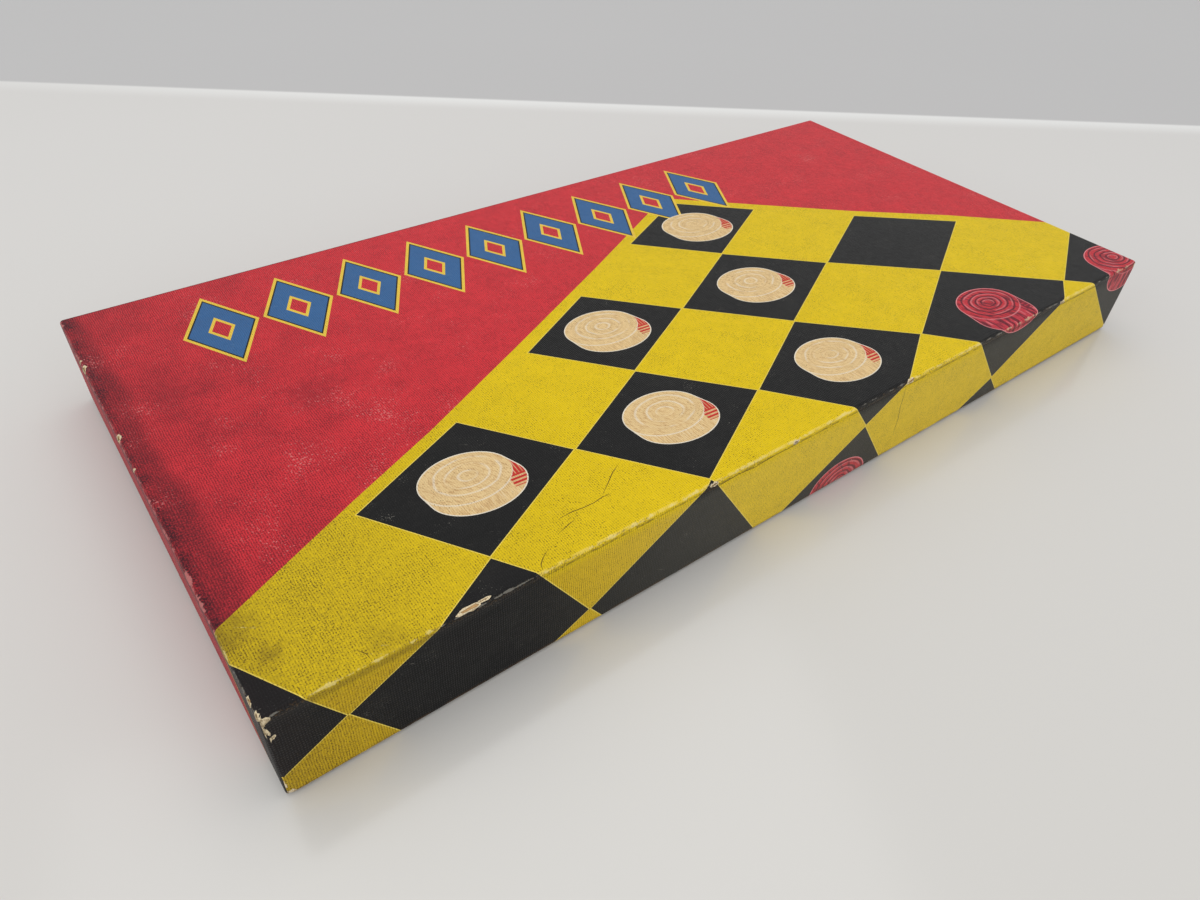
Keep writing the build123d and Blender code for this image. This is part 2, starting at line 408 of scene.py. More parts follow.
def wall_place(point, towards):
    """A corner point's place in the print, on the wall that a way out from the corner points to."""
    held, distance, way = split_sheet_point(point)
    if distance < NEARLY:
        return point
    angle = math.atan2(abs(way.x), abs(way.y))
    side_x = math.copysign(1.0, towards.x)
    side_y = math.copysign(1.0, towards.y)
    if math.atan2(abs(towards.x), abs(towards.y)) < math.pi / 4:
        return Vector((held.x + side_x * EDGE_RADIUS * angle, held.y + side_y * distance))
    return Vector((held.x + side_x * distance, held.y + side_y * EDGE_RADIUS * (math.pi / 2 - angle)))


def print_place(point):
    """The place in the print of a point of the sheet. In a corner the two walls' prints meet."""
    way = split_sheet_point(point)[2]
    return point.copy() if min(abs(way.x), abs(way.y)) < 1e-4 else wall_place(point, way)


# the print: a draughts board seen at a slant, laid over the lid and its walls, on a red ground

# where the lines of the printed board cross, row by row, in mm on the sheet
FIRST_COLUMN = -2
CROSSINGS = (
    ((-234.6, -87.5), (-184.6, -66.1), (-139.8, -46.4), (-99.4, -27.7), (-62.8, -9.5), (-27.1, 9.9),
     (12.3, 31.3), (50.6, 51.3)),
    ((-211.3, -131.3), (-163.3, -103.2), (-118.6, -78.4), (-77.5, -56.9), (-39.3, -36.6), (-1.5, -16.3),
     (38.6, 5.9), (78.0, 27.6)),
    ((-190.0, -168.0), (-141.1, -139.1), (-95.1, -114.6), (-53.7, -88.1), (-12.9, -66.0), (26.6, -44.2),
     (69.2, -21.6), (111.1, 0.5)),
    ((-168.0, -204.0), (-118.0, -177.0), (-69.8, -151.0), (-27.7, -125.5), (14.9, -100.3), (58.8, -74.5),
     (103.2, -50.2), (146.3, -27.1)),
    ((-146.0, -240.0), (-95.0, -213.0), (-45.0, -187.0), (-2.0, -162.0), (42.0, -136.9), (91.9, -112.0),
     (139.0, -81.7), (181.1, -59.5)),
    ((-125.0, -276.0), (-73.0, -249.0), (-20.0, -224.0), (32.0, -199.0), (85.0, -174.0), (126.9, -150.5),
     (179.5, -119.5), (223.0, -97.5)))
BOARD_OUTLINE = (
    (-240.0, -91.5), (-180.2, -62.1), (-136.9, -40.9), (-107.1, -27.0), (-64.6, -5.1), (-9.9, 23.6),
    (50.8, 56.6), (75.5, 35.9), (113.7, 4.1), (147.8, -21.4), (178.7, -47.7), (240.0, -101.0),
    (240.0, -150.0), (-240.0, -150.0))
KEYLINE = 0.26

# the printed draughts: colour, and the middle of the face on the sheet
PRINTED_DRAUGHTS = (
    ("light", -109.2, -50.0), ("light", -45.4, -58.2), ("light", -33.2, -10.6), ("light", 32.5, -15.9),
    ("light", 21.2, -65.9), ("light", 45.0, 31.0),
    ("red", 97.6, -75.4), ("red", 174.6, -82.6), ("red", 8.0, -121.9))
DRAUGHT_HALF_LONG = 13.7
DRAUGHT_HALF_SHORT = 9.9
DRAUGHT_TILT = -4.0
DRAUGHT_HEIGHT = {"light": Vector((1.2, -5.0)), "red": Vector((-0.6, -7.8))}
DRAUGHT_LINE = 0.35
FLARE = 0.6

# a row of plain lozenges, each of five lozenges laid one on another: half width, half height, ink
ORNAMENT_COUNT = 9
ORNAMENT_START = Vector((-139.0, 56.5))
ORNAMENT_END = Vector((70.0, 56.5))
ORNAMENT_LAYERS = (
    (12.4, 22.5, "ornament_outline"), (11.2, 20.3, "black_ink"), (10.6, 19.3, "blue_ink"),
    (4.4, 8.0, "ornament_outline"), (3.2, 5.8, "red_ink"))

# spots where the cover has gone, down to the strawboard: place on the sheet, half sizes, tilt
CHIPS = (
    (-181.1, 56.9, 1.8, 1.2, 75), (-181.1, 17.9, 1.5, 0.9, 70), (-181.2, 61.8, 0.7, 0.5, 0),
    (-180.9, 2.3, 0.35, 0.25, 30),
    (-181.1, -83.8, 1.1, 0.6, 80), (-181.0, -88.2, 1.1, 0.5, 80), (-180.5, -90.8, 1.5, 1.1, 20),
    (-180.6, -94.2, 0.6, 2.0, 12), (-179.4, -97.0, 0.5, 0.35, 40), (-181.2, -115.5, 0.6, 2.2, 0),
    (-180.4, -120.4, 1.5, 1.1, 0), (-130.6, -89.1, 3.3, 0.5, 1), (-127.0, -88.8, 1.6, 0.16, 2),
    (-53.4, -90.2, 1.2, 0.45, 0), (-20.5, -90.4, 1.0, 0.4, 0), (33.8, -90.0, 1.9, 0.6, 8),
    (125.0, -90.4, 1.3, 0.5, 0), (180.8, -90.6, 1.4, 1.1, 0), (60.0, 90.5, 1.9, 0.6, 0),
    (181.2, 90.3, 1.5, 1.2, 0), (-180.9, 90.2, 1.3, 1.0, 0), (-181.2, 119.0, 1.1, 1.0, 0),
    (181.0, 20.0, 0.6, 1.9, 0), (-96.0, 90.4, 1.2, 0.5, 0), (181.4, -40.0, 0.7, 1.3, 0),
    (180.6, -119.6, 1.3, 1.0, 0), (181.0, 119.8, 1.2, 1.0, 0))
# the torn edge of bare paper round a chip, along it and across it
TORN_LONG = 0.55
TORN_SHORT = 0.45
TORN_SEED = 40
CHIP_SEED = 80

# cracks through the printed film: points of each crack on the sheet
CRACKS = (
    ((-71.2, -69.0), (-74.4, -70.6), (-77.9, -73.2), (-82.0, -76.1)),
    ((-80.0, -77.2), (-82.6, -76.9), (-85.9, -77.4), (-89.3, -77.3), (-93.3, -76.8), (-96.9, -77.1)),
    ((-93.8, -79.7), (-96.1, -80.1), (-100.5, -81.4)),
    ((-105.8, -84.4), (-108.4, -86.2), (-109.7, -87.5), (-110.2, -89.2)),
    ((31.6, -91.2), (32.4, -96.0), (32.6, -100.2), (33.9, -105.6), (34.0, -109.5), (34.6, -113.5)),
    ((-60.0, -91.2), (-52.5, -91.8), (-44.0, -91.0), (-37.5, -91.9), (-29.0, -91.1), (-21.0, -91.6)),
    ((-157.2, -85.0), (-155.8, -87.0), (-155.6, -88.6)))
CRACK_WIDTH = 0.22

INKS = ("red_ink", "yellow_ink", "black_ink", "pale_keyline", "light_draught_print", "red_draught_print",
        "light_draught_edge", "red_draught_edge", "light_draught_line", "red_draught_line", "blue_ink",
        "ornament_outline", "bare_paper", "crack")


def shrunk(corners, margin):
    """A convex outline drawn in by a margin."""
    inner = []
    for index, corner in enumerate(corners):
        before = (corner - corners[index - 1]).normalized()
        after = (corners[(index + 1) % len(corners)] - corner).normalized()
        left = Vector((-before.y, before.x)) + Vector((-after.y, after.x))
        inner.append(corner + left / (1 + before.dot(after)) * margin)
    return inner


def counter_clockwise(corners):
    area = sum(a.x * b.y - a.y * b.x for a, b in zip(corners, corners[1:] + corners[:1]))
    return corners if area > 0 else corners[::-1]


def square_of_board(row, place):
    return counter_clockwise([Vector(CROSSINGS[r][p]) for r, p in (
        (row, place), (row + 1, place), (row + 1, place + 1), (row, place + 1))])


def oval(centre, half_long, half_short, tilt, steps=56):
    turn = Matrix.Rotation(math.radians(tilt), 2)
    angles = [TURN * k / steps for k in range(steps)]
    return [centre + turn @ Vector((half_long * math.cos(angle), half_short * math.sin(angle)))
            for angle in angles]


def hull(points):
    """The outline round a set of points."""
    ordered = sorted((p.x, p.y) for p in points)

    def half(row):
        chain = []
        for p in row:
            while len(chain) > 1 and ((chain[-1][0] - chain[-2][0]) * (p[1] - chain[-2][1])
                                      - (chain[-1][1] - chain[-2][1]) * (p[0] - chain[-2][0])) <= 0:
                chain.pop()
            chain.append(p)
        return chain[:-1]
    return [Vector(p) for p in half(ordered) + half(ordered[::-1])]


def diamond(centre, half_wide, half_high):
    return [centre + Vector((half_wide, 0)), centre + Vector((0, half_high)),
            centre + Vector((-half_wide, 0)), centre + Vector((0, -half_high))]


def ragged(centre, long, short, tilt, seed, points=13):
    """The outline of a torn or chipped spot."""
    draw = random.Random(seed)
    turn = Matrix.Rotation(math.radians(tilt), 2)
    return [centre + turn @ Vector((long * draw.uniform(0.6, 1.1) * math.cos(TURN * k / points),
                                    short * draw.uniform(0.5, 1.15) * math.sin(TURN * k / points)))
            for k in range(points)]


def crack_outline(points):
    """A narrow strip along a crack, running out to a quarter of its width at both ends."""
    spots = [Vector(p) for p in points]
    last = len(spots) - 1
    left, right = [], []
    for index, spot in enumerate(spots):
        ahead = (spots[min(index + 1, last)] - spots[max(index - 1, 0)]).normalized()
        side = Vector((-ahead.y, ahead.x)) * CRACK_WIDTH / 2 * (0.25 if index in (0, last) else 1.0)
        left.append(spot + side)
        right.append(spot - side)
    return left + right[::-1]


def print_regions():
    """Every outline of the print, the later ones over the earlier: its lowest and highest corner,
    the outline, its ink or None where the cover has gone, and the middle of a printed draught."""
    regions = []

    def add(outline, ink, middle=None):
        low = Vector((min(p.x for p in outline), min(p.y for p in outline)))
        high = Vector((max(p.x for p in outline), max(p.y for p in outline)))
        regions.append((low, high, outline, ink, middle))

    add(counter_clockwise([Vector(p) for p in BOARD_OUTLINE]), "yellow_ink")
    for row in range(len(CROSSINGS) - 1):
        for place in range(len(CROSSINGS[0]) - 1):
            if (row + place + FIRST_COLUMN) % 2 == 0:
                corners = square_of_board(row, place)
                add(corners, "pale_keyline")
                add(shrunk(corners, KEYLINE), "black_ink")
    step = (ORNAMENT_END - ORNAMENT_START) / (ORNAMENT_COUNT - 1)
    for index in range(ORNAMENT_COUNT):
        for half_wide, half_high, ink in ORNAMENT_LAYERS:
            add(diamond(ORNAMENT_START + step * index, half_wide, half_high), ink)
    for colour, x, y in PRINTED_DRAUGHTS:
        centre = Vector((x, y))
        top = oval(centre, DRAUGHT_HALF_LONG, DRAUGHT_HALF_SHORT, DRAUGHT_TILT)
        foot = oval(centre + DRAUGHT_HEIGHT[colour], DRAUGHT_HALF_LONG + FLARE, DRAUGHT_HALF_SHORT,
                    DRAUGHT_TILT)
        outline = counter_clockwise(hull(top + foot))
        add(outline, colour + "_draught_line")
        add(shrunk(outline, DRAUGHT_LINE), colour + "_draught_edge", centre)
        add(shrunk(top, DRAUGHT_LINE), colour + "_draught_print", centre)
    for points in CRACKS:
        add(crack_outline(points), "crack")
    for index, (x, y, long, short, tilt) in enumerate(CHIPS):
        spot = Vector((x, y))
        add(ragged(spot, long + TORN_LONG, short + TORN_SHORT, tilt, TORN_SEED + index), "bare_paper")
        add(ragged(spot, long, short, tilt, CHIP_SEED + index), None)
    return regions


def inside(point, outline):
    within = False
    for a, b in zip(outline, outline[1:] + outline[:1]):
        if (a.y > point.y) != (b.y > point.y):
            if point.x < a.x + (point.y - a.y) / (b.y - a.y) * (b.x - a.x):
                within = not within
    return within


def ink_at(point, regions):
    """The ink at a place in the print, or None where the cover is gone, and the draught's middle."""
    ink = "red_ink", None
    for low, high, outline, name, middle in regions:
        if low.x <= point.x <= high.x and low.y <= point.y <= high.y and inside(point, outline):
            ink = name, middle
    return ink


# cutting the sheet, folding it over the lid and giving it its thickness

WALL_LEVELS = 18
WALL_LEVEL_STEP = 1.6
TURN_IN_LEVELS = (3.0, 5.5, 8.0, 10.5)


def fold_lines():
    """The sheet's outline, its fold lines and the rays of its four corners."""
    outlines = []
    fold_levels = set(round(level, 5) for level in [entry[0] for entry in PROFILE] + [PRINTED_RUN])
    wall_levels = [PROFILE[ARC_STEPS][0] + WALL_LEVEL_STEP * k for k in range(1, WALL_LEVELS + 1)]
    turned_levels = [RUN - TURN_IN + level for level in TURN_IN_LEVELS]
    levels = sorted(fold_levels | set(round(level, 5) for level in wall_levels + turned_levels))

    def ray(start, step):
        angle = math.radians(start + 90 * step / CORNER_STEPS)
        return Vector((math.cos(angle), math.sin(angle)))

    corners = [(Vector((sx * INSET.x, sy * INSET.y)), start) for sx, sy, start in CORNERS]
    for level in levels:
        if level < 1e-4:
            outlines.append(([corner for corner, _ in corners], True))
            continue
        ring = []
        for corner, start in corners:
            arc = [corner + ray(start, step) * level for step in range(CORNER_STEPS + 1)]
            ring += arc
            if level not in fold_levels:
                outlines.append((arc, False))
        if level in fold_levels:
            outlines.append((ring, True))
    for corner, start in corners:
        for step in range(CORNER_STEPS + 1):
            outlines.append(([corner, corner + ray(start, step) * RUN], False))
    return outlines


def cut_sheet(regions):
    """The flat sheet cut along every fold and every outline of the print."""
    points, edges = [], []

    def draw(outline, closed):
        first = len(points)
        points.extend(outline)
        count = len(outline)
        edges.extend((first + k, first + k + 1) for k in range(count - 1))
        if closed:
            edges.append((first + count - 1, first))

    for outline, closed in fold_lines():
        draw(outline, closed)
    for _, _, outline, _, _ in regions:
        draw(outline, True)
    cut = delaunay_2d_cdt(points, edges, [], 0, 1e-4)
    return [Vector(p) for p in cut[0]], cut[2]


def middle_of(points, triangle):
    return sum((points[k] for k in triangle), Vector((0.0, 0.0))) / 3


def inked_triangles(points, triangles, regions):
    """The sheet's triangles that face up and have paper, each with its ink and its draught's middle."""
    kept = []
    for triangle in triangles:
        middle = middle_of(points, triangle)
        distance = split_sheet_point(middle)[1]
        if distance > RUN:
            continue
        ink, draught = ink_at(print_place(middle), regions)
        first, second, third = (points[k] for k in triangle)
        area = (second - first).cross(third - first)
        if ink is None or abs(area) < 1e-7:
            continue
        if distance > PRINTED_RUN:
            ink, draught = "bare_paper", None
        kept.append((triangle if area > 0 else triangle[::-1], ink, draught))
    return kept


def folded_points(points, used):
    """The used points folded over the lid. What comes together there, such as turned-in corners,
    is welded."""
    places, facings, place_of, index_of = [], [], {}, {}
    for number in sorted(used):
        spot, facing = fold(points[number])
        key = tuple(round(value, 3) for value in spot)
        if key in place_of:
            facings[place_of[key]] = facings[place_of[key]] + facing
        else:
            place_of[key] = len(places)
            places.append(spot)
            facings.append(facing)
        index_of[number] = place_of[key]
    return places, [facing.normalized() for facing in facings], index_of


def sheet_uv(point):
    return (0.5 + point.x / SHEET_LENGTH, 0.5 + point.y / SHEET_DEPTH)


def back_uv(point):
    """The back of the paper keeps to a small corner of the sheet's map, clear of the print."""
    return (0.004 + 0.02 * (point.x + 200) / 400, 0.004 + 0.02 * (point.y + 100) / 200)


CUT_EDGE_UVS = ((0.03, 0.03), (0.034, 0.03), (0.034, 0.034), (0.03, 0.034))


def draught_uv(point, middle):
    """A place on a printed draught's face: its rim is a quarter away from one half."""
    if middle is None:
        return (0.0, 0.0)
    across = Matrix.Rotation(math.radians(-DRAUGHT_TILT), 2) @ (point - middle)
    return (0.5 + 0.25 * across.x / DRAUGHT_HALF_LONG, 0.5 + 0.25 * across.y / DRAUGHT_HALF_SHORT)


def make_lid_cover():
    """The printed paper as one closed mesh: its face, its back and the cut edge of every hole."""
    regions = print_regions()
    points, triangles = cut_sheet(regions)
    kept = inked_triangles(points, triangles, regions)
    places, facings, index_of = folded_points(points, set(k for triangle, _, _ in kept for k in triangle))
    backs = [spot - facing * COVER_PAPER for spot, facing in zip(places, facings)]
    count = len(places)
    faces, inks, sheet_uvs, draught_uvs, normals = [], [], [], [], []

    def add_face(corners, ink, sheet_spots, draught_spots, ways):
        faces.append(corners)
        inks.append(INKS.index(ink))
        sheet_uvs.extend(sheet_spots)
        draught_uvs.extend(draught_spots)
        normals.extend(tuple(way) for way in ways)

    border = {}
    for triangle, ink, draught in kept:
        corners = [index_of[k] for k in triangle]
        if len(set(corners)) < 3:
            continue
        middle = middle_of(points, triangle)
        towards = split_sheet_point(middle)[2]
        in_corner = (print_place(middle) - middle).length > NEARLY
        flat = [wall_place(points[k], towards) if in_corner else points[k] for k in triangle]
        add_face(corners, ink, [sheet_uv(p) for p in flat], [draught_uv(p, draught) for p in flat],
                 [facings[k] for k in corners])
        for edge in zip(corners, corners[1:] + corners[:1]):
            if edge[::-1] in border:
                del border[edge[::-1]]
            else:
                border[edge] = True

    for corners in list(faces):
        back = corners[::-1]
        add_face([k + count for k in back], "bare_paper", [back_uv(backs[k]) for k in back],
                 [(0.0, 0.0)] * 3, [-facings[k] for k in back])
    for start, end in border:
        side = (places[end] - places[start]).cross(facings[start])
        side = side.normalized() if side.length > 1e-9 else facings[start]
        add_face([end, start, start + count, end + count], "bare_paper", CUT_EDGE_UVS,
                 [(0.0, 0.0)] * 4, [side] * 4)

    mesh = bpy.data.meshes.new("lid_cover")
    mesh.from_pydata([p * MM for p in places + backs], [], faces)
    for name in INKS:
        mesh.materials.append(MATERIALS[name])
    mesh.polygons.foreach_set("material_index", inks)
    for name, uvs in (("OFBake", sheet_uvs), ("draught_face", draught_uvs)):
        layer = mesh.uv_layers.new(name=name)
        layer.data.foreach_set("uv", [value for uv in uvs for value in uv])
    mesh.polygons.foreach_set("use_smooth", [True] * len(faces))
    mesh.normals_split_custom_set(normals)
    cover = add_to_scene("lid_cover", mesh)
    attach(cover, "lid")
    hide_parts("lid_wrap")


# colours

RED = linear(215, 46, 56)
YELLOW = linear(230, 198, 10)
BLACK = linear(12, 12, 12)
BLUE = linear(52, 100, 152)
OUTLINE_YELLOW = linear(236, 200, 70)
CREAM = linear(230, 199, 144)
DRAUGHT_RED = linear(200, 46, 58)
STRAW = linear(196, 158, 108)
PAPER_WHITE = linear(226, 208, 172)
DIRT = linear(74, 54, 26)
GRIME = linear(112, 94, 34)
AGED_WALL = linear(150, 92, 40)
HANDLED = linear(52, 8, 22)
DUST = linear(210, 206, 188)
# painted shade along the back fold
BACK_RIM_SHADE_COLOUR = linear(52, 12, 20)
FOOT_DIRT = linear(98, 72, 44)
# painted shade under the crest of the fold
CREASE_SHADE = linear(52, 36, 22)
CRUMBLED_FILM = linear(104, 76, 36)
FOXING = linear(150, 108, 62)


# the wear of the lid, and the painted highlight and shade along its folds. Places and reaches are in mm on
# the sheet.

# soft stains in the print near the handled end: middle, reach and depth
STAINS = (
    ((-181.0, -64.0, 0.0), 11.0, 0.5), ((-172.8, -75.5, 0.0), 5.0, 0.45), ((-150.0, -86.0, 0.0), 7.0, 0.25),
    ((-129.0, 8.0, 0.0), 12.0, 0.3), ((-161.0, 30.0, 0.0), 16.0, 0.25))
# where the print is scuffed most: middle, how far it reaches, and how much more it is there
SCUFFED_SPOT = (-118.0, -14.0, 0.0)
SCUFFED_REACH = 42.0
SCUFFED_MORE = 0.35
SCRATCH_SLANT = 0.6
# the handled end: how far in its dark band goes, and where along the box each wear, painted highlight and
# painted shade comes in
HANDLED_REACH = 7.6
WORN_END = (-60.0, -180.0)
BACK_RIM_SHADE_END = (80.0, -80.0)
BROKEN_FOLD_END = (-128.0, -104.0)
SOFT_FOLD_SHADE_END = (-118.0, -132.0)
# films on the walls: strength at a place along the box, and at another
AGED_FILM = {"Start": -30.0, "End": -90.0, "Low": 0.06, "High": 0.22}
DUST_FILM = {"Start": -125.0, "End": -45.0, "Low": 0.0, "High": 0.06}
# lines along the fold, down the wall from it: the middle, and where each fades in. The crest takes a painted
# highlight, the crease under it a painted shade.
CREST_HIGHLIGHT_LINE = {"Middle": -0.1, "Far": 0.75, "Near": 0.3}
CREASE = {"Middle": 1.4, "Far": 0.6, "Near": 0.15}
WALL_BEGINS = (1.0, 5.0)
WORN_FOOT = (29.6, 31.0)


def sheet_place(b):
    """A place on the lid's sheet, in mm."""
    uv = b.add("ShaderNodeUVMap", uv_map="OFBake")
    return b.scaled(b.shifted(uv, (0.5, 0.5, 0.0)), (SHEET_LENGTH, SHEET_DEPTH, 1.0))


def past_fold(b, place):
    """How far a place is past the lid's folds: down its wall, or below zero on the top."""
    x, y, _ = b.axes(place)
    return b.larger(b.minus(b.positive(x), HALF_LENGTH), b.minus(b.positive(y), HALF_DEPTH))


@shared("Tone", Threads=0.6, Ribs=0.9)
def thread_shade(b, place, threads, ribs):
    """The ink's tone over the threads, which show more on the walls."""
    dark = b.fade(past_fold(b, place), 0.0, 2.0, ribs, b.minus(ribs, 0.1))
    return b.fade(threads, 0.3, 0.95, dark, 1.05)


@shared("Mask")
def stains(b, place):
    """Soft stains, each with a ragged edge."""
    ragged_edge = b.minus(b.cloud(place, 0.2, 5.0, 0.7), 0.5)
    clean = 1.0
    for middle, reach, depth in STAINS:
        away = b.plus(b.distance(place, middle), b.times(ragged_edge, 1.6 * reach))
        clean = b.times(b.fade(away, reach, 0.0, 1.0, 1.0 - depth), clean)
    return b.minus(1.0, clean)


@shared("Mask", Start=0.0, End=1.0, Low=0.0, High=1.0)
def wall_film(b, place, start, end, low, high):
    """A film on the walls that changes along the box."""
    x, _, _ = b.axes(place)
    return b.times(b.fade(past_fold(b, place), *WALL_BEGINS), b.fade(x, start, end, low, high))


@shared("Mask", Threads=0.6, Amount=0.5)
def pits(b, place, threads, amount):
    """Dirt in the pits between the pressed threads, more of it towards the handled end."""
    x, _, _ = b.axes(place)
    amount = b.times(amount, b.fade(x, *WORN_END, 1.0, 1.45))
    fine = b.cloud(place, 2.3, 3.0, 0.65)
    slow = b.cloud(place, 0.09)
    level = b.plus(b.minus(fine, b.times(threads, 0.2)), b.times(slow, 0.2))
    start = b.minus(0.68, b.times(amount, 0.14))
    return b.fade(level, start, b.plus(start, 0.05))


@shared("Mask")
def handling(b, place):
    """The dark band of handling along one end of the box, with a fainter one reaching further in."""
    x, y, _ = b.axes(place)
    inward = b.plus(x, HALF_LENGTH)
    wander = b.patches(place, 0.02, 2.0, 0.5, 0.35, 0.65, 0.85, 1.2)
    depth = b.times(HANDLED_REACH, wander, b.fade(y, 90.0, -60.0, 0.75, 1.15))
    band = b.fade(b.over(inward, depth), 1.4, 0.65)
    wide = b.fade(inward, 60.0, 5.0)
    rim = b.times(b.fade(inward, 4.6, 0.4), b.patches(place, 0.11, 4.0, 0.7, 0.4, 0.55))
    stains = b.times(b.patches(place, 0.05, 4.0, 0.6, 0.42, 0.62), b.fade(inward, 130.0, 20.0))
    grain = b.patches(place, 1.6, 4.0, 0.7, 0.38, 0.62, 0.5, 1.0)
    bands = b.plus(b.times(band, 0.54), b.times(wide, 0.1))
    shade = b.plus(bands, b.plus(b.times(rim, 0.42), b.times(stains, 0.18)))
    return b.times(shade, grain, b.fade(inward, -9.0, -2.0, 0.35, 1.0))


@shared("Mask")
def back_rim_shade(b, place):
    """Painted shade: a dark line along the rounded back fold."""
    x, y, _ = b.axes(place)
    return b.times(b.fade(b.off(y, HALF_DEPTH + 0.2), 1.9, 0.9), b.fade(x, *BACK_RIM_SHADE_END, 0.15, 0.8))


@shared("Mask", Spot=0.5, Amount=0.2)
def scuffs(b, place, spot, amount):
    """Bare spots, more of them round the most scuffed place, and fine scratches in patches."""
    more = b.fade(b.distance(place, SCUFFED_SPOT), SCUFFED_REACH, 0.0, 1.0, 1.0 + SCUFFED_MORE)
    bare = speckle(b, place, spot, b.times(amount, more), 0.06)
    turned = b.turned(place, SCRATCH_SLANT)
    streak = b.patches(b.scaled(turned, (0.07, 2.6, 1.0)), 1.0, 3.0, 0.6, 0.66, 0.70)
    short = b.patches(b.scaled(turned, (0.9, 0.22, 1.0)), 1.0, 2.0, 0.55, 0.46, 0.6)
    return b.larger(bare, b.times(streak, short, b.patches(place, 0.035, 4.0, 0.6, 0.5, 0.64)))


@shared("Mask", Middle=0.0, Far=1.0, Near=0.0)
def broken_fold(b, place, middle, far, near):
    """A broken line along the fold, faint at the handled end: the mask of the painted highlight on the crest
    and of the painted shade under it.
    """
    x, _, _ = b.axes(place)
    broken = b.times(b.patches(place, 0.4, 5.0, 0.75, 0.4, 0.56), b.fade(x, *BROKEN_FOLD_END, 0.08, 1.0))
    return b.times(b.fade(b.off(past_fold(b, place), middle), far, near), broken)


@shared("Mask")
def soft_fold_shade(b, place):
    """Painted shade: the soft dark line just down the wall from the fold, at the handled end."""
    x, _, _ = b.axes(place)
    return b.times(b.fade(b.off(past_fold(b, place), 1.6), 2.2, 0.3), b.fade(x, *SOFT_FOLD_SHADE_END, 0.0, 0.45))


@shared("Mask")
def crumbled_film(b, place):
    """Where the film under the fold has crumbled."""
    under_fold = b.fade(b.off(past_fold(b, place), 0.5), 1.1, 0.5)
    crumbs = b.patches(place, 1.6, 2.0, 0.55, 0.5, 0.62)
    return b.times(under_fold, crumbs, b.patches(place, 0.03, 3.0, 0.55, 0.44, 0.52))


@shared("Mask")
def dirty_foot(b, place):
    """Dirt along the foot of the walls."""
    return b.times(b.fade(past_fold(b, place), *WORN_FOOT), b.patches(place, 0.16, 5.0, 0.7, 0.36, 0.56))


@shared("Mask", Reach=1.0)
def rubbed_folds(b, place, reach):
    """Where the folds between the lid's top and its walls are rubbed."""
    x, y, _ = b.axes(place)
    away = b.smaller(b.off(b.positive(x), HALF_LENGTH), b.off(b.positive(y), HALF_DEPTH))
    return rubbed_edges(b, place, away, reach)


@shared("Roughness", Threads=0.6, Rubbed=0.0, Crest=0.0, Gloss=0.4)
def dullness(b, place, threads, rubbed, crest, gloss):
    """Roughness: the threads and the broken crest shine, rubbed paper and the walls are duller."""
    sheen = b.fade(threads, 0.2, 0.9, b.plus(gloss, 0.12), b.minus(gloss, 0.05))
    dull = b.plus(b.times(rubbed, 0.15), b.fade(past_fold(b, place), 0.5, 4.0, 0.0, 0.1))
    return b.plus(b.minus(sheen, b.times(crest, 0.12)), dull)


# the lid's inks

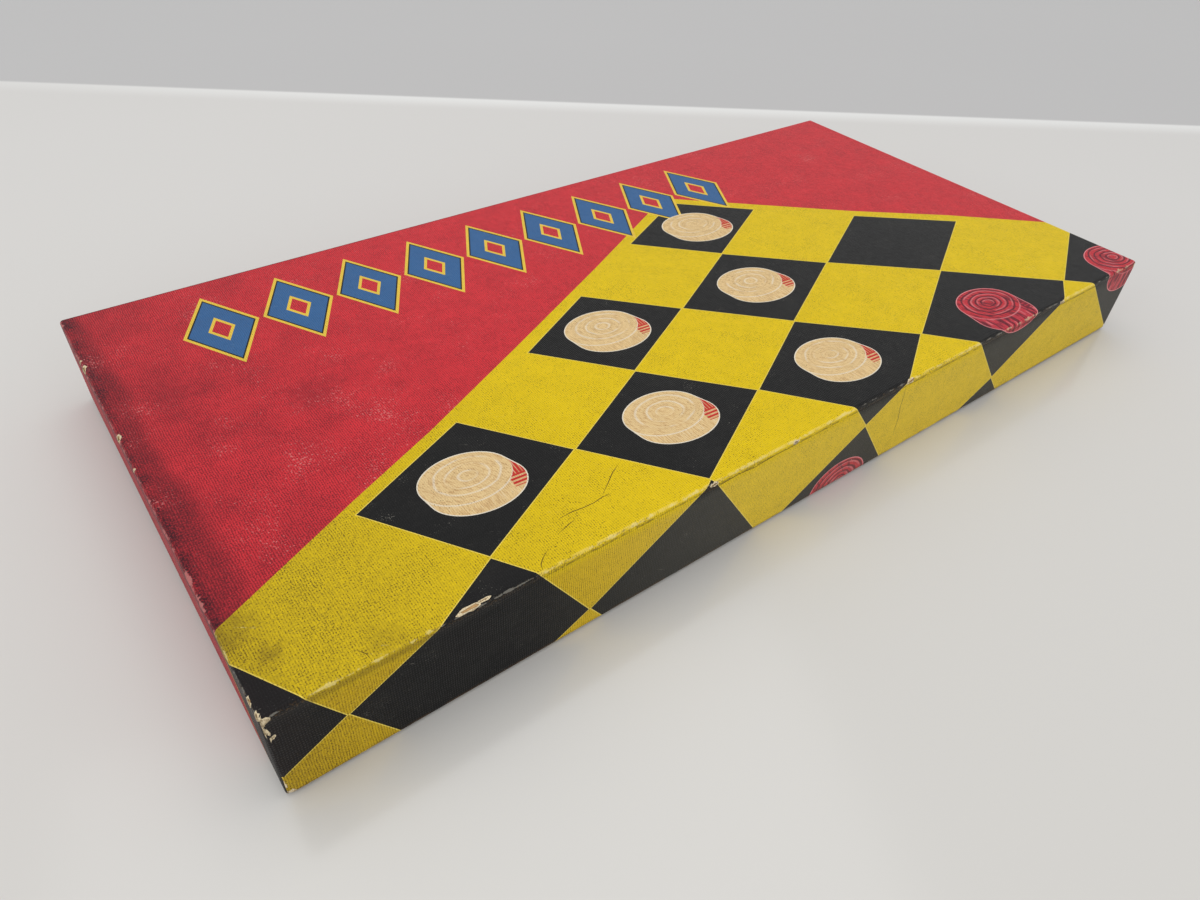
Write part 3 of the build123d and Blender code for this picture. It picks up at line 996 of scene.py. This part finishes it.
def make_ink(name, colour, gloss=0.42, dirt=0.3, dirt_colour=DIRT, dirt_strength=0.8, grime=0.0, scuffs=0.2,
             scuff_colour=PAPER_WHITE, haze=0.0, cracks=0.0, handled=0.6, rub=0.8, crest_highlight=None, threads=0.06,
             ribs=0.88, grain=0.3, shine=0.2, stain=DIRT, speck=0.42, drawing=None):
    """One printed ink of the lid: colour on embossed linen paper, with the wear it has taken, and painted
    highlight and shade along its folds.
    """
    b, shader = new_material(name)
    place = sheet_place(b)
    linen = b.group("linen_threads", place, Cross=0.45)
    ground = drawing(b, place) if drawing else colour
    ground = b.shaded(ground, b.group("mottle", place, Swing=grain, Grain=0.8))
    ground = b.shaded(ground, b.group("thread_shade", place, Threads=linen, Ribs=ribs))

    # stains, dirt and dust, and painted shade along the back fold
    ground = b.mixed(b.group("stains", place), ground, stain)
    if grime:
        x, _, _ = b.axes(place)
        film = b.times(b.fade(x, *WORN_END), b.patches(place, 0.9, 4.0, 0.7, 0.35, 0.65, 0.4, 1.0))
        ground = b.laid(ground, GRIME, film, grime)
        ground = b.mixed(b.group("wall_film", place, **AGED_FILM), ground, AGED_WALL)
    if dirt:
        pits = b.group("pits", place, Threads=linen, Amount=dirt)
        ground = b.laid(ground, dirt_colour, pits, dirt_strength)
    if haze:
        ground = b.laid(ground, scuff_colour, b.patches(place, 0.07, 6.0, 0.7, 0.45, 0.75), haze)
    if handled:
        ground = b.laid(ground, HANDLED, b.group("handling", place), handled)
    if cracks:
        ground = b.laid(ground, DIRT, b.group("hair_cracks", place), cracks)
    ground = b.mixed(b.group("wall_film", place, **DUST_FILM), ground, DUST)
    # painted shade along the rounded back fold
    ground = b.mixed(b.group("back_rim_shade", place), ground, BACK_RIM_SHADE_COLOUR)
    ground = b.laid(ground, scuff_colour, b.group("scuffs", place, Spot=speck, Amount=scuffs), 0.6)

    # the fold, with its painted highlight and painted shade, and the foot of the walls
    crest = b.group("broken_fold", place, **CREST_HIGHLIGHT_LINE)
    crease = b.group("broken_fold", place, **CREASE)
    crumbled = b.group("crumbled_film", place)
    rubbed = b.group("rubbed_folds", place, Reach=rub)
    # painted highlight along the crest of the fold, in a lighter shade of the ink
    if crest_highlight:
        ground = b.laid(ground, crest_highlight, crest, 0.6)
    ground = b.laid(ground, FOOT_DIRT, b.group("dirty_foot", place), 0.6)
    # painted shade under the fold at the handled end, in the ink's stain colour
    ground = b.mixed(b.group("soft_fold_shade", place), ground, stain)
    # painted shade down the wall, just under the fold's crest
    ground = b.laid(ground, CREASE_SHADE, crease, 0.55)
    ground = b.laid(ground, CRUMBLED_FILM, crumbled, 0.75 * rub)
    ground = b.laid(ground, scuff_colour, rubbed, 0.5)
    dull = b.group("dullness", place, Threads=linen, Rubbed=rubbed, Crest=crest, Gloss=gloss)
    relief = b.minus(b.plus(linen, b.times(crumbled, 0.8)), b.times(crease, 1.4))
    finish_surface(b, shader, ground, dull, relief, threads, shine)


# the printed draughts, drawn in strokes

RING_SHIFT = (0.06, 0.06, 0.0)
STROKE_SLANT = -0.5


def draught_face_place(b):
    """A place on a printed draught's face, one away from its middle at the rim."""
    uv = b.add("ShaderNodeUVMap", uv_map="draught_face")
    return b.scaled(b.shifted(uv, (0.5, 0.5, 0.0)), (4.0, 4.0, 0.0))


def from_ring_middle(b, place, face):
    """Distance from the middle of the drawn rings, a little unsteady."""
    wobble = b.times(b.minus(b.cloud(place, 0.12, 2.0), 0.5), 0.16)
    return b.plus(b.distance(face, RING_SHIFT), wobble)


@shared("Mask", Face=ORIGIN, Scale=(1.0, 1.0, 1.0), Strength=1.0)
def face_strokes(b, place, face, scale, strength):
    """Slanted strokes over a face, and hair lines along its rings."""
    strokes = b.patches(b.scaled(b.turned(place, STROKE_SLANT), scale), 1.0, 3.0, 0.65, 0.5, 0.62)
    lines = b.fade(b.wave(from_ring_middle(b, place, face), 62.0), 0.5, 0.95)
    hair = b.times(lines, b.patches(place, 0.8, 3.0, 0.55, 0.46, 0.6))
    clear = b.times(b.minus(1.0, b.times(strokes, strength)), b.minus(1.0, b.times(hair, strength)))
    return b.minus(1.0, clear)


@shared("Mask", Face=ORIGIN, Ring=0.5)
def lit_ring(b, place, face, ring):
    """The lit side of a turned ring, broken here and there."""
    line = b.fade(b.off(from_ring_middle(b, place, face), ring), 0.045, 0.01)
    return b.times(line, b.patches(place, 0.12, 2.0, 0.55, 0.4, 0.54, 0.1, 1.0))


@shared("Mask", Face=ORIGIN, Ring=0.5)
def dark_ring(b, place, face, ring):
    """The shaded side of a turned ring."""
    return b.fade(b.off(from_ring_middle(b, place, face), b.plus(ring, 0.06)), 0.042, 0.018)


@shared("Mask", Scale=(1.0, 1.0, 1.0), Start=0.5, End=0.6)
def side_strokes(b, place, scale, start, end):
    """Upright strokes down a draught's side."""
    return b.patches(b.scaled(place, scale), 1.0, 2.0, 0.6, start, end)


@shared("Mask")
def side_light(b, place):
    """The light on a draught's side, just under its face. The place is one on the face."""
    _, up, _ = b.axes(place)
    return b.times(b.fade(b.distance(place, ORIGIN), 1.03, 1.0), b.fade(up, 0.0, -0.2, 0.0, 0.6))


@shared("Mask")
def hatching(b, place):
    """Hatching at the right end of a draught's side. The place is one on the face."""
    across, up, _ = b.axes(place)
    rim = b.fade(b.distance(place, ORIGIN), 0.98, 1.0)
    end = b.times(b.fade(across, 0.73, 0.76), b.fade(up, -1.02, -0.98), rim)
    upright = b.fade(b.wave(across, 80.0), -0.9, -0.4, 0.4, 1.0)
    level = b.fade(b.wave(up, 42.0), -0.4, 0.1, 0.2, 1.0)
    bars = b.plus(upright, b.times(b.minus(level, upright), b.fade(up, -0.5, -0.56)))
    return b.times(end, bars)


def drawn_draught(ground, rings, light_line, dark_line, strokes, dark_rings, stroke_scale):
    """The face of a printed draught: turned rings with a lit and a shaded side, and grain strokes."""
    def draw(b, place):
        face = draught_face_place(b)
        marks = b.group("face_strokes", place, Face=face, Scale=stroke_scale, Strength=strokes)
        drawn = b.mixed(marks, ground, dark_line)
        for ring in rings:
            drawn = b.laid(drawn, light_line, b.group("lit_ring", place, Face=face, Ring=ring), 0.52)
            drawn = b.laid(drawn, dark_line, b.group("dark_ring", place, Face=face, Ring=ring), dark_rings)
        return drawn
    return draw


def drawn_edge(ground, light_line, dark_line, hatch, strokes, stroke_scale):
    """The side of a printed draught: upright strokes, and hatching at its right end."""
    def draw(b, place):
        face = draught_face_place(b)
        dark = b.group("side_strokes", place, Scale=stroke_scale, Start=0.5, End=0.56)
        light = b.group("side_strokes", place, Scale=stroke_scale, Start=0.4, End=0.36)
        side = b.laid(ground, dark_line, dark, strokes)
        side = b.laid(side, light_line, light, 0.6 * strokes)
        side = b.mixed(b.group("side_light", face), side, light_line)
        return b.mixed(b.group("hatching", face), side, hatch)
    return draw


def make_inks():
    # each ink's crest colour is the painted highlight along the crest of its folds
    make_ink("red_ink", RED, dirt=0.98, dirt_colour=linear(92, 12, 27), dirt_strength=0.64, scuffs=0.46,
             stain=linear(84, 10, 28), ribs=0.8, speck=0.75, scuff_colour=linear(226, 140, 136), handled=1.0,
             grain=0.5, crest_highlight=linear(220, 132, 126))
    make_ink("yellow_ink", YELLOW, dirt=0.66, dirt_colour=linear(92, 74, 20), grime=0.42, scuffs=0.06,
             stain=linear(104, 78, 22), scuff_colour=linear(238, 222, 150), cracks=0.15, handled=0.25,
             shine=0.14, crest_highlight=linear(240, 214, 110))
    make_ink("black_ink", BLACK, gloss=0.36, dirt=0.0, scuffs=0.4, scuff_colour=linear(150, 146, 136),
             haze=0.02, handled=0.1, rub=0.4, ribs=0.7, threads=0.1, stain=linear(30, 28, 26),
             crest_highlight=linear(44, 42, 40))
    make_ink("pale_keyline", linear(240, 214, 92), handled=0.2)
    make_ink("blue_ink", BLUE, dirt_colour=linear(34, 66, 104), scuffs=0.15,
             scuff_colour=linear(140, 170, 190))
    make_ink("ornament_outline", OUTLINE_YELLOW, dirt=0.25, scuffs=0.1)
    pale_line = linear(238, 228, 208)
    brown_line = linear(178, 130, 78)
    rose_line = linear(230, 140, 144)
    wine_line = linear(84, 12, 34)
    light_rings = (0.20, 0.46, 0.72)
    red_rings = (0.16, 0.34, 0.54, 0.76)
    make_ink("light_draught_print", CREAM, scuffs=0.1, ribs=0.94, drawing=drawn_draught(
        CREAM, light_rings, pale_line, brown_line, 0.42, 0.12, (1.7, 0.3, 1.0)))
    make_ink("red_draught_print", DRAUGHT_RED, dirt=0.1, scuffs=0.15, drawing=drawn_draught(
        DRAUGHT_RED, red_rings, rose_line, wine_line, 0.75, 0.85, (0.75, 0.12, 1.0)))
    make_ink("light_draught_edge", CREAM, scuffs=0.1, ribs=0.94, drawing=drawn_edge(
        linear(230, 198, 142), pale_line, brown_line, linear(196, 40, 34), 0.4, (2.4, 0.25, 1.0)))
    make_ink("red_draught_edge", DRAUGHT_RED, dirt=0.1, scuffs=0.1, drawing=drawn_edge(
        linear(196, 50, 66), rose_line, wine_line, linear(120, 20, 40), 0.85, (0.7, 0.1, 1.0)))
    make_ink("light_draught_line", pale_line, dirt=0.2, scuffs=0.1)
    make_ink("red_draught_line", rose_line, dirt=0.2, scuffs=0.1)
    make_ink("bare_paper", PAPER_WHITE, dirt=0.35, scuffs=0.0, handled=0.12, gloss=0.75)
    make_ink("crack", DIRT, dirt=0.0, scuffs=0.0, handled=0.0, gloss=0.7)


# the tray, the cards and the linings

INSERT_CREASE = 14.8


def object_place(b):
    """A place on a piece, in mm."""
    return b.scaled(b.add("ShaderNodeTexCoord", out=3), (1000.0, 1000.0, 1000.0))


def make_card(name, colour, fleck, flecks=0.5, foxing=0.2, rough=0.85, swing=0.3):
    """Board or paper: pulp flecks, brown age spots and a fibrous face."""
    b, shader = new_material(name)
    place = object_place(b)
    ground = b.shaded(colour, b.group("mottle", place, Swing=swing))
    fibres = b.group("speckle", b.scaled(place, (1.0, 0.4, 1.0)), Spot=0.45, Amount=flecks, Softness=0.1)
    spots = b.group("speckle", place, Spot=3.2, Amount=foxing, Softness=0.2)
    ground = b.laid(ground, fleck, fibres, 0.55)
    ground = b.laid(ground, FOXING, spots, 0.5)
    felt = b.group("felt", place, Scale=1.6)
    finish_surface(b, shader, ground, b.fade(felt, 0.3, 0.7, rough - 0.08, rough + 0.06), felt, 0.04, 0.25)


def make_tray_cover():
    """Plain deep red linen paper on the tray's walls, rubbed at the rim and corners."""
    b, shader = new_material("tray_linen_paper")
    place = object_place(b)
    x, y, z = b.axes(place)
    linen = b.group("linen_threads", b.joined(b.plus(x, y), z, 0.0))
    ground = b.shaded(linear(142, 28, 36), b.group("mottle", place, Swing=0.4))
    ground = b.shaded(ground, b.fade(linen, 0.25, 0.85, 0.78, 1.08))
    _, high = box_in_mm("tray_wrap")
    corner = b.larger(b.minus(high.x, b.positive(x)), b.minus(high.y, b.positive(y)))
    away = b.smaller(corner, b.minus(high.z, z))
    bare = b.group("speckle", place, Spot=0.9, Amount=0.3, Softness=0.07)
    ground = b.laid(ground, linear(196, 130, 116), bare, 0.6)
    ground = b.laid(ground, linear(206, 150, 128), b.group("rubbed_edges", place, Away=away, Reach=0.5), 0.45)
    finish_surface(b, shader, ground, b.fade(linen, 0.2, 0.9, 0.58, 0.42), linen, 0.05)


def make_insert_card():
    """Manila card with its creases broken pale and the trough darker towards its bottom."""
    b, shader = new_material("manila_card")
    place = object_place(b)
    _, y, z = b.axes(place)
    low, high = box_in_mm("insert_card")
    ground = b.shaded(linear(214, 190, 146), b.group("mottle", place, Swing=0.25))
    fibres = b.group("speckle", b.scaled(place, (0.4, 1.0, 1.0)), Spot=0.5, Amount=0.55, Softness=0.12)
    ground = b.laid(ground, linear(160, 122, 78), fibres, 0.5)
    # darker towards the bottom of the trough
    ground = b.laid(ground, linear(126, 92, 60), b.fade(z, high.z - 1.0, low.z + 2.0), 0.35)
    crease = b.larger(b.off(b.positive(y), INSERT_CREASE), b.minus(high.z, z))
    broken = b.group("rubbed_edges", place, Away=crease, Reach=0.7)
    ground = b.laid(ground, linear(236, 224, 198), broken, 0.8)
    felt = b.group("felt", place, Scale=1.2)
    finish_surface(b, shader, ground, b.fade(felt, 0.3, 0.7, 0.62, 0.8), felt, 0.03)


# the folding board

SQUARE = 40.0
FOLD_LINE = 87.0
CHEQUERS_HALF = 4 * SQUARE
# a yellow edge round the chequers, then a ruled line, each from and to a distance outside them
EDGE_ENDS = (1.2, 1.1)
LINE_STARTS = (3.0, 3.1)
LINE_ENDS = (4.1, 4.0)
CLOTH_LEAF = 12.0
CLOTH = 0.15
CLOTH_MIDDLE = 0.225
CLOTH_STEPS = 10
LEAF_STEPS = 4


def away_from_board_edges(b, place, node):
    """Distance from the outer edges of the board's lower half, which the upper half lies on."""
    x, y, _ = b.axes(place)
    low, high = box_in_mm(node)
    end = b.minus(high.x, b.positive(x))
    return b.smaller(end, b.smaller(b.minus(high.y, y), b.minus(y, low.y)))


@shared("Color", Shift=0.0)
def board_pattern(b, place, shift):
    """Chequers in the lid's inks, a ruled line round them and a red border, up to the middle fold."""
    x, y, _ = b.axes(place)
    from_fold = b.minus(FOLD_LINE, y)
    across = b.plus(b.times(x, 1 / SQUARE), b.plus(shift, 8.0))
    chequers = b.add("ShaderNodeTexChecker", {
        "Vector": b.joined(across, b.times(from_fold, 1 / SQUARE), 0.5), "Color1": YELLOW, "Color2": BLACK,
        "Scale": 1.0})
    outside = b.minus(b.larger(b.positive(x), from_fold), CHEQUERS_HALF)
    line = b.times(b.fade(outside, *LINE_STARTS), b.fade(outside, *LINE_ENDS))
    border = b.mixed(b.fade(outside, *EDGE_ENDS), b.mixed(line, RED, YELLOW), YELLOW)
    return b.mixed(b.fade(outside, 0.0, 0.15), chequers, border)


def make_board_print(name, shift):
    """The printed face of one half of the board, shifted by whole squares."""
    b, shader = new_material(name)
    place = object_place(b)
    ground = b.shaded(b.group("board_pattern", place, Shift=shift), b.group("mottle", place, Swing=0.3))
    spots = b.group("speckle", place, Spot=1.4, Amount=0.3, Softness=0.16)
    bare = b.group("speckle", place, Spot=0.8, Amount=0.22, Softness=0.07)
    away = away_from_board_edges(b, place, "board_lower_face")
    rubbed = b.group("rubbed_edges", place, Away=away, Reach=0.8)
    ground = b.laid(ground, DIRT, spots, 0.5)
    ground = b.laid(ground, PAPER_WHITE, b.larger(b.times(bare, 0.5), rubbed), 0.6)
    film = b.group("felt", place, Scale=0.8, Rough=0.65)
    finish_surface(b, shader, ground, b.fade(film, 0.3, 0.7, 0.4, 0.55), film, 0.02, 0.2)


def make_covering():
    """Black grained paper round the outside of the board, grey where its corners are rubbed."""
    b, shader = new_material("board_grained_paper")
    place = object_place(b)
    grain = b.add("ShaderNodeTexVoronoi", {"Vector": place, "Scale": 1.1, "Randomness": 1.0},
                  feature="DISTANCE_TO_EDGE")
    pebble = b.fade(grain, 0.0, 0.28)
    ground = b.mixed(pebble, linear(18, 18, 19), linear(40, 39, 40))
    away = away_from_board_edges(b, place, "board_lower_back")
    rubbed = b.group("rubbed_edges", place, Away=away, Reach=0.7)
    bare = b.group("speckle", place, Spot=0.8, Amount=0.25, Softness=0.07)
    ground = b.laid(ground, linear(132, 124, 114), b.larger(rubbed, bare), 0.35)
    finish_surface(b, shader, ground, b.fade(pebble, 0.0, 1.0, 0.62, 0.42), pebble, 0.05)


def make_cloth():
    """Dark book cloth of the fold, its threads showing."""
    b, shader = new_material("book_cloth")
    place = object_place(b)
    linen = b.group("linen_threads", place, Pitch=0.5, Cross=0.6)
    ground = b.mixed(b.fade(linen, 0.3, 1.0), linear(22, 20, 20), linear(62, 56, 52))
    ground = b.shaded(ground, b.group("mottle", place, Swing=0.4))
    finish_surface(b, shader, ground, b.fade(linen, 0.2, 1.0, 0.9, 0.75), linen, 0.06)


def make_fold_cloth():
    """The strip of cloth that the board folds on, one leaf glued to each half."""
    low, high = box_in_mm("board_lower_face")
    fold_height = high.z
    start = high.y - CLOTH_LEAF
    leaf = FOLD_LINE - start

    def line(offset):
        """The section of one face of the cloth, from the lower leaf round to the upper."""
        radius = CLOTH_MIDDLE + offset
        rows = [(start + leaf * k / LEAF_STEPS, fold_height - radius) for k in range(LEAF_STEPS)]
        for k in range(CLOTH_STEPS + 1):
            angle = math.pi * k / CLOTH_STEPS
            rows.append((FOLD_LINE + radius * math.sin(angle), fold_height - radius * math.cos(angle)))
        rows += [(start + leaf * k / LEAF_STEPS, fold_height + radius) for k in reversed(range(LEAF_STEPS))]
        return rows

    section = line(CLOTH / 2) + line(-CLOTH / 2)[::-1]
    count = len(section)
    faces = [(k, (k + 1) % count, (k + 1) % count + count, k + count) for k in range(count)]
    for base in (0, count):
        for k in range(count // 2 - 1):
            quad = (base + k, base + k + 1, base + count - 2 - k, base + count - 1 - k)
            faces.append(quad[::-1] if base == 0 else quad)
    mesh = bpy.data.meshes.new("fold_cloth")
    mesh.from_pydata([(x * MM, y * MM, z * MM) for x in (low.x, high.x) for y, z in section], [], faces)
    mesh.materials.append(MATERIALS["book_cloth"])
    mesh.update()
    cloth = add_to_scene("fold_cloth", mesh)
    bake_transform(cloth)
    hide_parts("board_hinge_cloth", "board_hinge_leaf")


# the draughts

TURNED_STEPS = 48
MIDDLE_HEIGHT = 3.32
# over how many mm of wood the draughts are spread, so that no two have the same grain
GRAIN_SPREAD = 400.0
# one face of a draught from its middle to its rim, as (radius, height over the middle plane)
TURNED_FACE = (
    (1.5, 3.28), (2.0, 3.0), (2.7, 2.96), (3.1, 3.25), (4.7, 3.25), (5.1, 2.97), (5.8, 2.97), (6.2, 3.25),
    (8.4, 3.22), (8.8, 2.9), (9.5, 2.9), (10.0, 3.2), (10.6, 3.8), (11.0, 3.9), (13.3, 3.9), (13.85, 3.75),
    (14.2, 3.35), (14.3, 2.8), (14.3, 0.55), (14.12, 0.3))


@shared("Height")
def wood_rings(b, place):
    """The light and dark of the grain, straight across a draught."""
    return b.cloud(b.scaled(place, (0.05, 0.55, 0.55)), 1.0, 4.0, 0.6, 0.6)


@shared("Height")
def pores(b, place):
    """Fine pores, drawn out along the grain."""
    return b.cloud(b.scaled(place, (0.35, 6.0, 6.0)), 1.0, 3.0, 0.6)


@shared("Mask")
def grooves(b, place):
    """The turned grooves of the faces and the waist, where dirt stays."""
    x, y, z = b.axes(place)
    radius = b.maths("SQRT", b.plus(b.times(x, x), b.times(y, y)))
    height = b.positive(z)
    sunk = b.times(b.fade(height, 3.2, 2.95), b.fade(radius, 10.4, 9.8))
    return b.larger(sunk, b.times(b.fade(height, 0.55, 0.2), b.fade(radius, 13.5, 14.0)))


@shared("Mask", Own=ORIGIN)
def worn_rims(b, place, own):
    """Where the raised rims are worn pale. The second place is the one in the piece's own wood."""
    _, _, z = b.axes(place)
    return b.times(b.fade(b.positive(z), 3.7, 3.9), b.patches(own, 0.35, 5.0, 0.7, 0.45, 0.65))


def make_wood(name, pale, deep, groove, stain=0.0):
    """Turned hardwood: straight grain across the face, pores, and dirt held in the grooves."""
    b, shader = new_material(name)
    place = object_place(b)
    own_shift = b.times(b.add("ShaderNodeObjectInfo", out=5), GRAIN_SPREAD)
    own = b.add("ShaderNodeVectorMath", {0: place, 1: b.joined(own_shift, own_shift, own_shift)},
                operation="ADD")
    rings = b.group("wood_rings", own)
    pores = b.group("pores", own)
    ground = b.mixed(b.fade(rings, 0.35, 0.65), pale, deep)
    ground = b.laid(ground, groove, b.fade(pores, 0.58, 0.7), 0.5)
    ground = b.shaded(ground, b.group("mottle", own, Grain=0.6, Swing=0.3))
    ground = b.laid(ground, groove, b.group("grooves", place), 0.7)
    ground = b.laid(ground, pale, b.group("worn_rims", place, Own=own), 0.45)
    if stain:
        nicks = b.group("speckle", own, Spot=0.7, Amount=0.25, Softness=0.08)
        ground = b.laid(ground, linear(214, 178, 124), nicks, stain)
    relief = b.plus(b.times(pores, 0.4), b.times(rings, 0.6))
    finish_surface(b, shader, ground, b.fade(rings, 0.3, 0.7, 0.34, 0.48), relief, 0.03)


def turned_mesh():
    """One draught, turned about the upright line through its middle."""
    profile = list(TURNED_FACE) + [(radius, -height) for radius, height in TURNED_FACE[::-1]]
    turns = [TURN * k / TURNED_STEPS for k in range(TURNED_STEPS)]
    points = [(0.0, 0.0, MIDDLE_HEIGHT)]
    for radius, height in profile:
        points += [(radius * math.cos(turn), radius * math.sin(turn), height) for turn in turns]
    points.append((0.0, 0.0, -MIDDLE_HEIGHT))
    last = len(points) - 1
    faces = []
    for k in range(TURNED_STEPS):
        after = (k + 1) % TURNED_STEPS
        faces.append((0, 1 + k, 1 + after))
        for base in range(1, last - TURNED_STEPS, TURNED_STEPS):
            faces.append((base + k, base + TURNED_STEPS + k, base + TURNED_STEPS + after, base + after))
        base = last - TURNED_STEPS
        faces.append((base + k, last, base + after))
    turned = bpy.data.meshes.new("turned_draught")
    turned.from_pydata([(x * MM, y * MM, z * MM) for x, y, z in points], [], faces)
    turned.polygons.foreach_set("use_smooth", [True] * len(faces))
    turned.set_sharp_from_angle(angle=math.radians(38))
    return turned


def make_draughts():
    """The 24 draughts, each turned its own way about its upright line."""
    turned = turned_mesh()
    draw = random.Random(24)
    for colour in ("light", "red"):
        for number in range(1, 13):
            node = f"draught_{colour}_{number:02d}"
            low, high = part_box(node)
            mesh = turned.copy()
            mesh.name = f"turned_{colour}_{number:02d}"
            mesh.materials.append(MATERIALS[f"turned_{colour}_wood"])
            piece = add_to_scene(f"turned_draught_{colour}_{number:02d}", mesh)
            piece.location = (low + high) / 2
            piece.rotation_euler.z = draw.uniform(0, TURN)
            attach(piece, f"{colour}_draught_{number:02d}")
            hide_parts(node)
    bpy.data.meshes.remove(turned)


# the CAD's own pieces, which keep their shape and get a finish

NODE_FINISHES = {
    "lid_board": "strawboard", "tray_board": "strawboard", "lid_corner_stays": "gummed_stays",
    "tray_corner_stays": "gummed_stays", "lid_lining": "inner_paper", "tray_lining": "inner_paper",
    "tray_base_paper": "base_paper", "tray_wrap": "tray_linen_paper", "insert_card": "manila_card",
    "board_lower_card": "grey_pulpboard", "board_upper_card": "grey_pulpboard",
    "board_lower_back": "board_grained_paper", "board_upper_back": "board_grained_paper",
    "board_lower_face": "board_print_lower", "board_upper_face": "board_print_upper"}


def dress_cad_nodes():
    make_card("strawboard", STRAW, linear(140, 104, 62), flecks=0.75, foxing=0.35, swing=0.4)
    make_card("gummed_stays", linear(206, 190, 158), linear(150, 128, 92))
    make_card("inner_paper", linear(226, 216, 192), linear(186, 164, 124), flecks=0.35, foxing=0.3, rough=0.7)
    make_card("base_paper", linear(196, 176, 138), linear(132, 104, 68), flecks=0.6, foxing=0.4)
    make_card("grey_pulpboard", linear(150, 142, 128), linear(98, 90, 78), flecks=0.8)
    make_tray_cover()
    make_insert_card()
    make_board_print("board_print_lower", 0.0)
    make_board_print("board_print_upper", 1.0)
    make_covering()
    make_cloth()
    make_wood("turned_light_wood", linear(232, 200, 142), linear(208, 168, 106), linear(122, 82, 44))
    make_wood("turned_red_wood", linear(178, 40, 42), linear(140, 24, 30), linear(60, 10, 14), stain=0.6)
    for node, finish in NODE_FINISHES.items():
        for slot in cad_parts[node].material_slots:
            slot.material = MATERIALS[finish]


# floor and light, in metres

FLOOR_HALF = 3.0
FLOOR_DROP = 0.00005
# the floor's tone goes with the distance along this level line: a painted highlight band at the table's far
# edge, then the backdrop
FLOOR_AWAY = (0.575, 0.818)
NEAR_FLOOR = (-0.25, 0.2)
EDGE_HIGHLIGHT = (0.264, 0.283)
EDGE_HIGHLIGHT_ALONG = (-0.35, 0.1)
BACKDROP = (0.282, 0.286)
# each lamp: name, place, width and height, power. All of them point at the box's underside.
LAMPS = (("ceiling_panel", (0.1, 0.3, 1.6), (1.6, 1.2), 6.5),
         ("near_panel", (-0.5, -1.6, 0.8), (1.8, 1.2), 9.5),
         ("left_panel", (-1.5, 0.2, 0.6), (1.2, 1.0), 4))
ROOM_LIGHT = 0.62


def make_floor():
    b, shader = new_material("table_top")
    x, y, _ = b.axes(b.add("ShaderNodeTexCoord", out=3))
    away = b.plus(b.times(x, FLOOR_AWAY[0]), b.times(y, FLOOR_AWAY[1]))
    ground = b.mixed(b.fade(away, *NEAR_FLOOR), linear(216, 214, 210), linear(221, 219, 216))
    # painted highlight: a white band at the table's far edge, stronger towards the right
    ground = b.laid(ground, linear(240, 240, 238), b.fade(away, *EDGE_HIGHLIGHT), b.fade(x, *EDGE_HIGHLIGHT_ALONG))
    ground = b.mixed(b.fade(away, *BACKDROP), ground, linear(194, 193, 193))
    b.feed(shader.inputs["Base Color"], ground)
    shader.inputs["Roughness"].default_value = 0.16
    shader.inputs["Specular IOR Level"].default_value = 0.5
    mesh = bpy.data.meshes.new("table")
    mesh.from_pydata([(side_x * FLOOR_HALF, side_y * FLOOR_HALF, 0)
                      for side_x, side_y in ((-1, -1), (1, -1), (1, 1), (-1, 1))], [], [(0, 1, 2, 3)])
    mesh.materials.append(MATERIALS["table_top"])
    table = add_to_scene("table", mesh)
    table.location.z = -FLOOR_DROP


def set_up_light():
    world = bpy.data.worlds.new("room")
    world.use_nodes = True
    background = world.node_tree.nodes["Background"]
    background.inputs[0].default_value = (1.0, 1.0, 1.0, 1.0)
    background.inputs[1].default_value = ROOM_LIGHT
    bpy.context.scene.world = world
    for name, place, size, power in LAMPS:
        light = bpy.data.lights.new(name, "AREA")
        light.shape = "RECTANGLE"
        light.size, light.size_y = size
        light.energy = power
        lamp = add_to_scene(name, light)
        lamp.location = place
        lamp.rotation_euler = (-Vector(place)).to_track_quat("-Z", "Y").to_euler()


bpy.context.scene.view_settings.view_transform = "Standard"
set_up_camera()
make_inks()
make_lid_cover()
dress_cad_nodes()
make_fold_cloth()
make_draughts()
make_floor()
set_up_light()
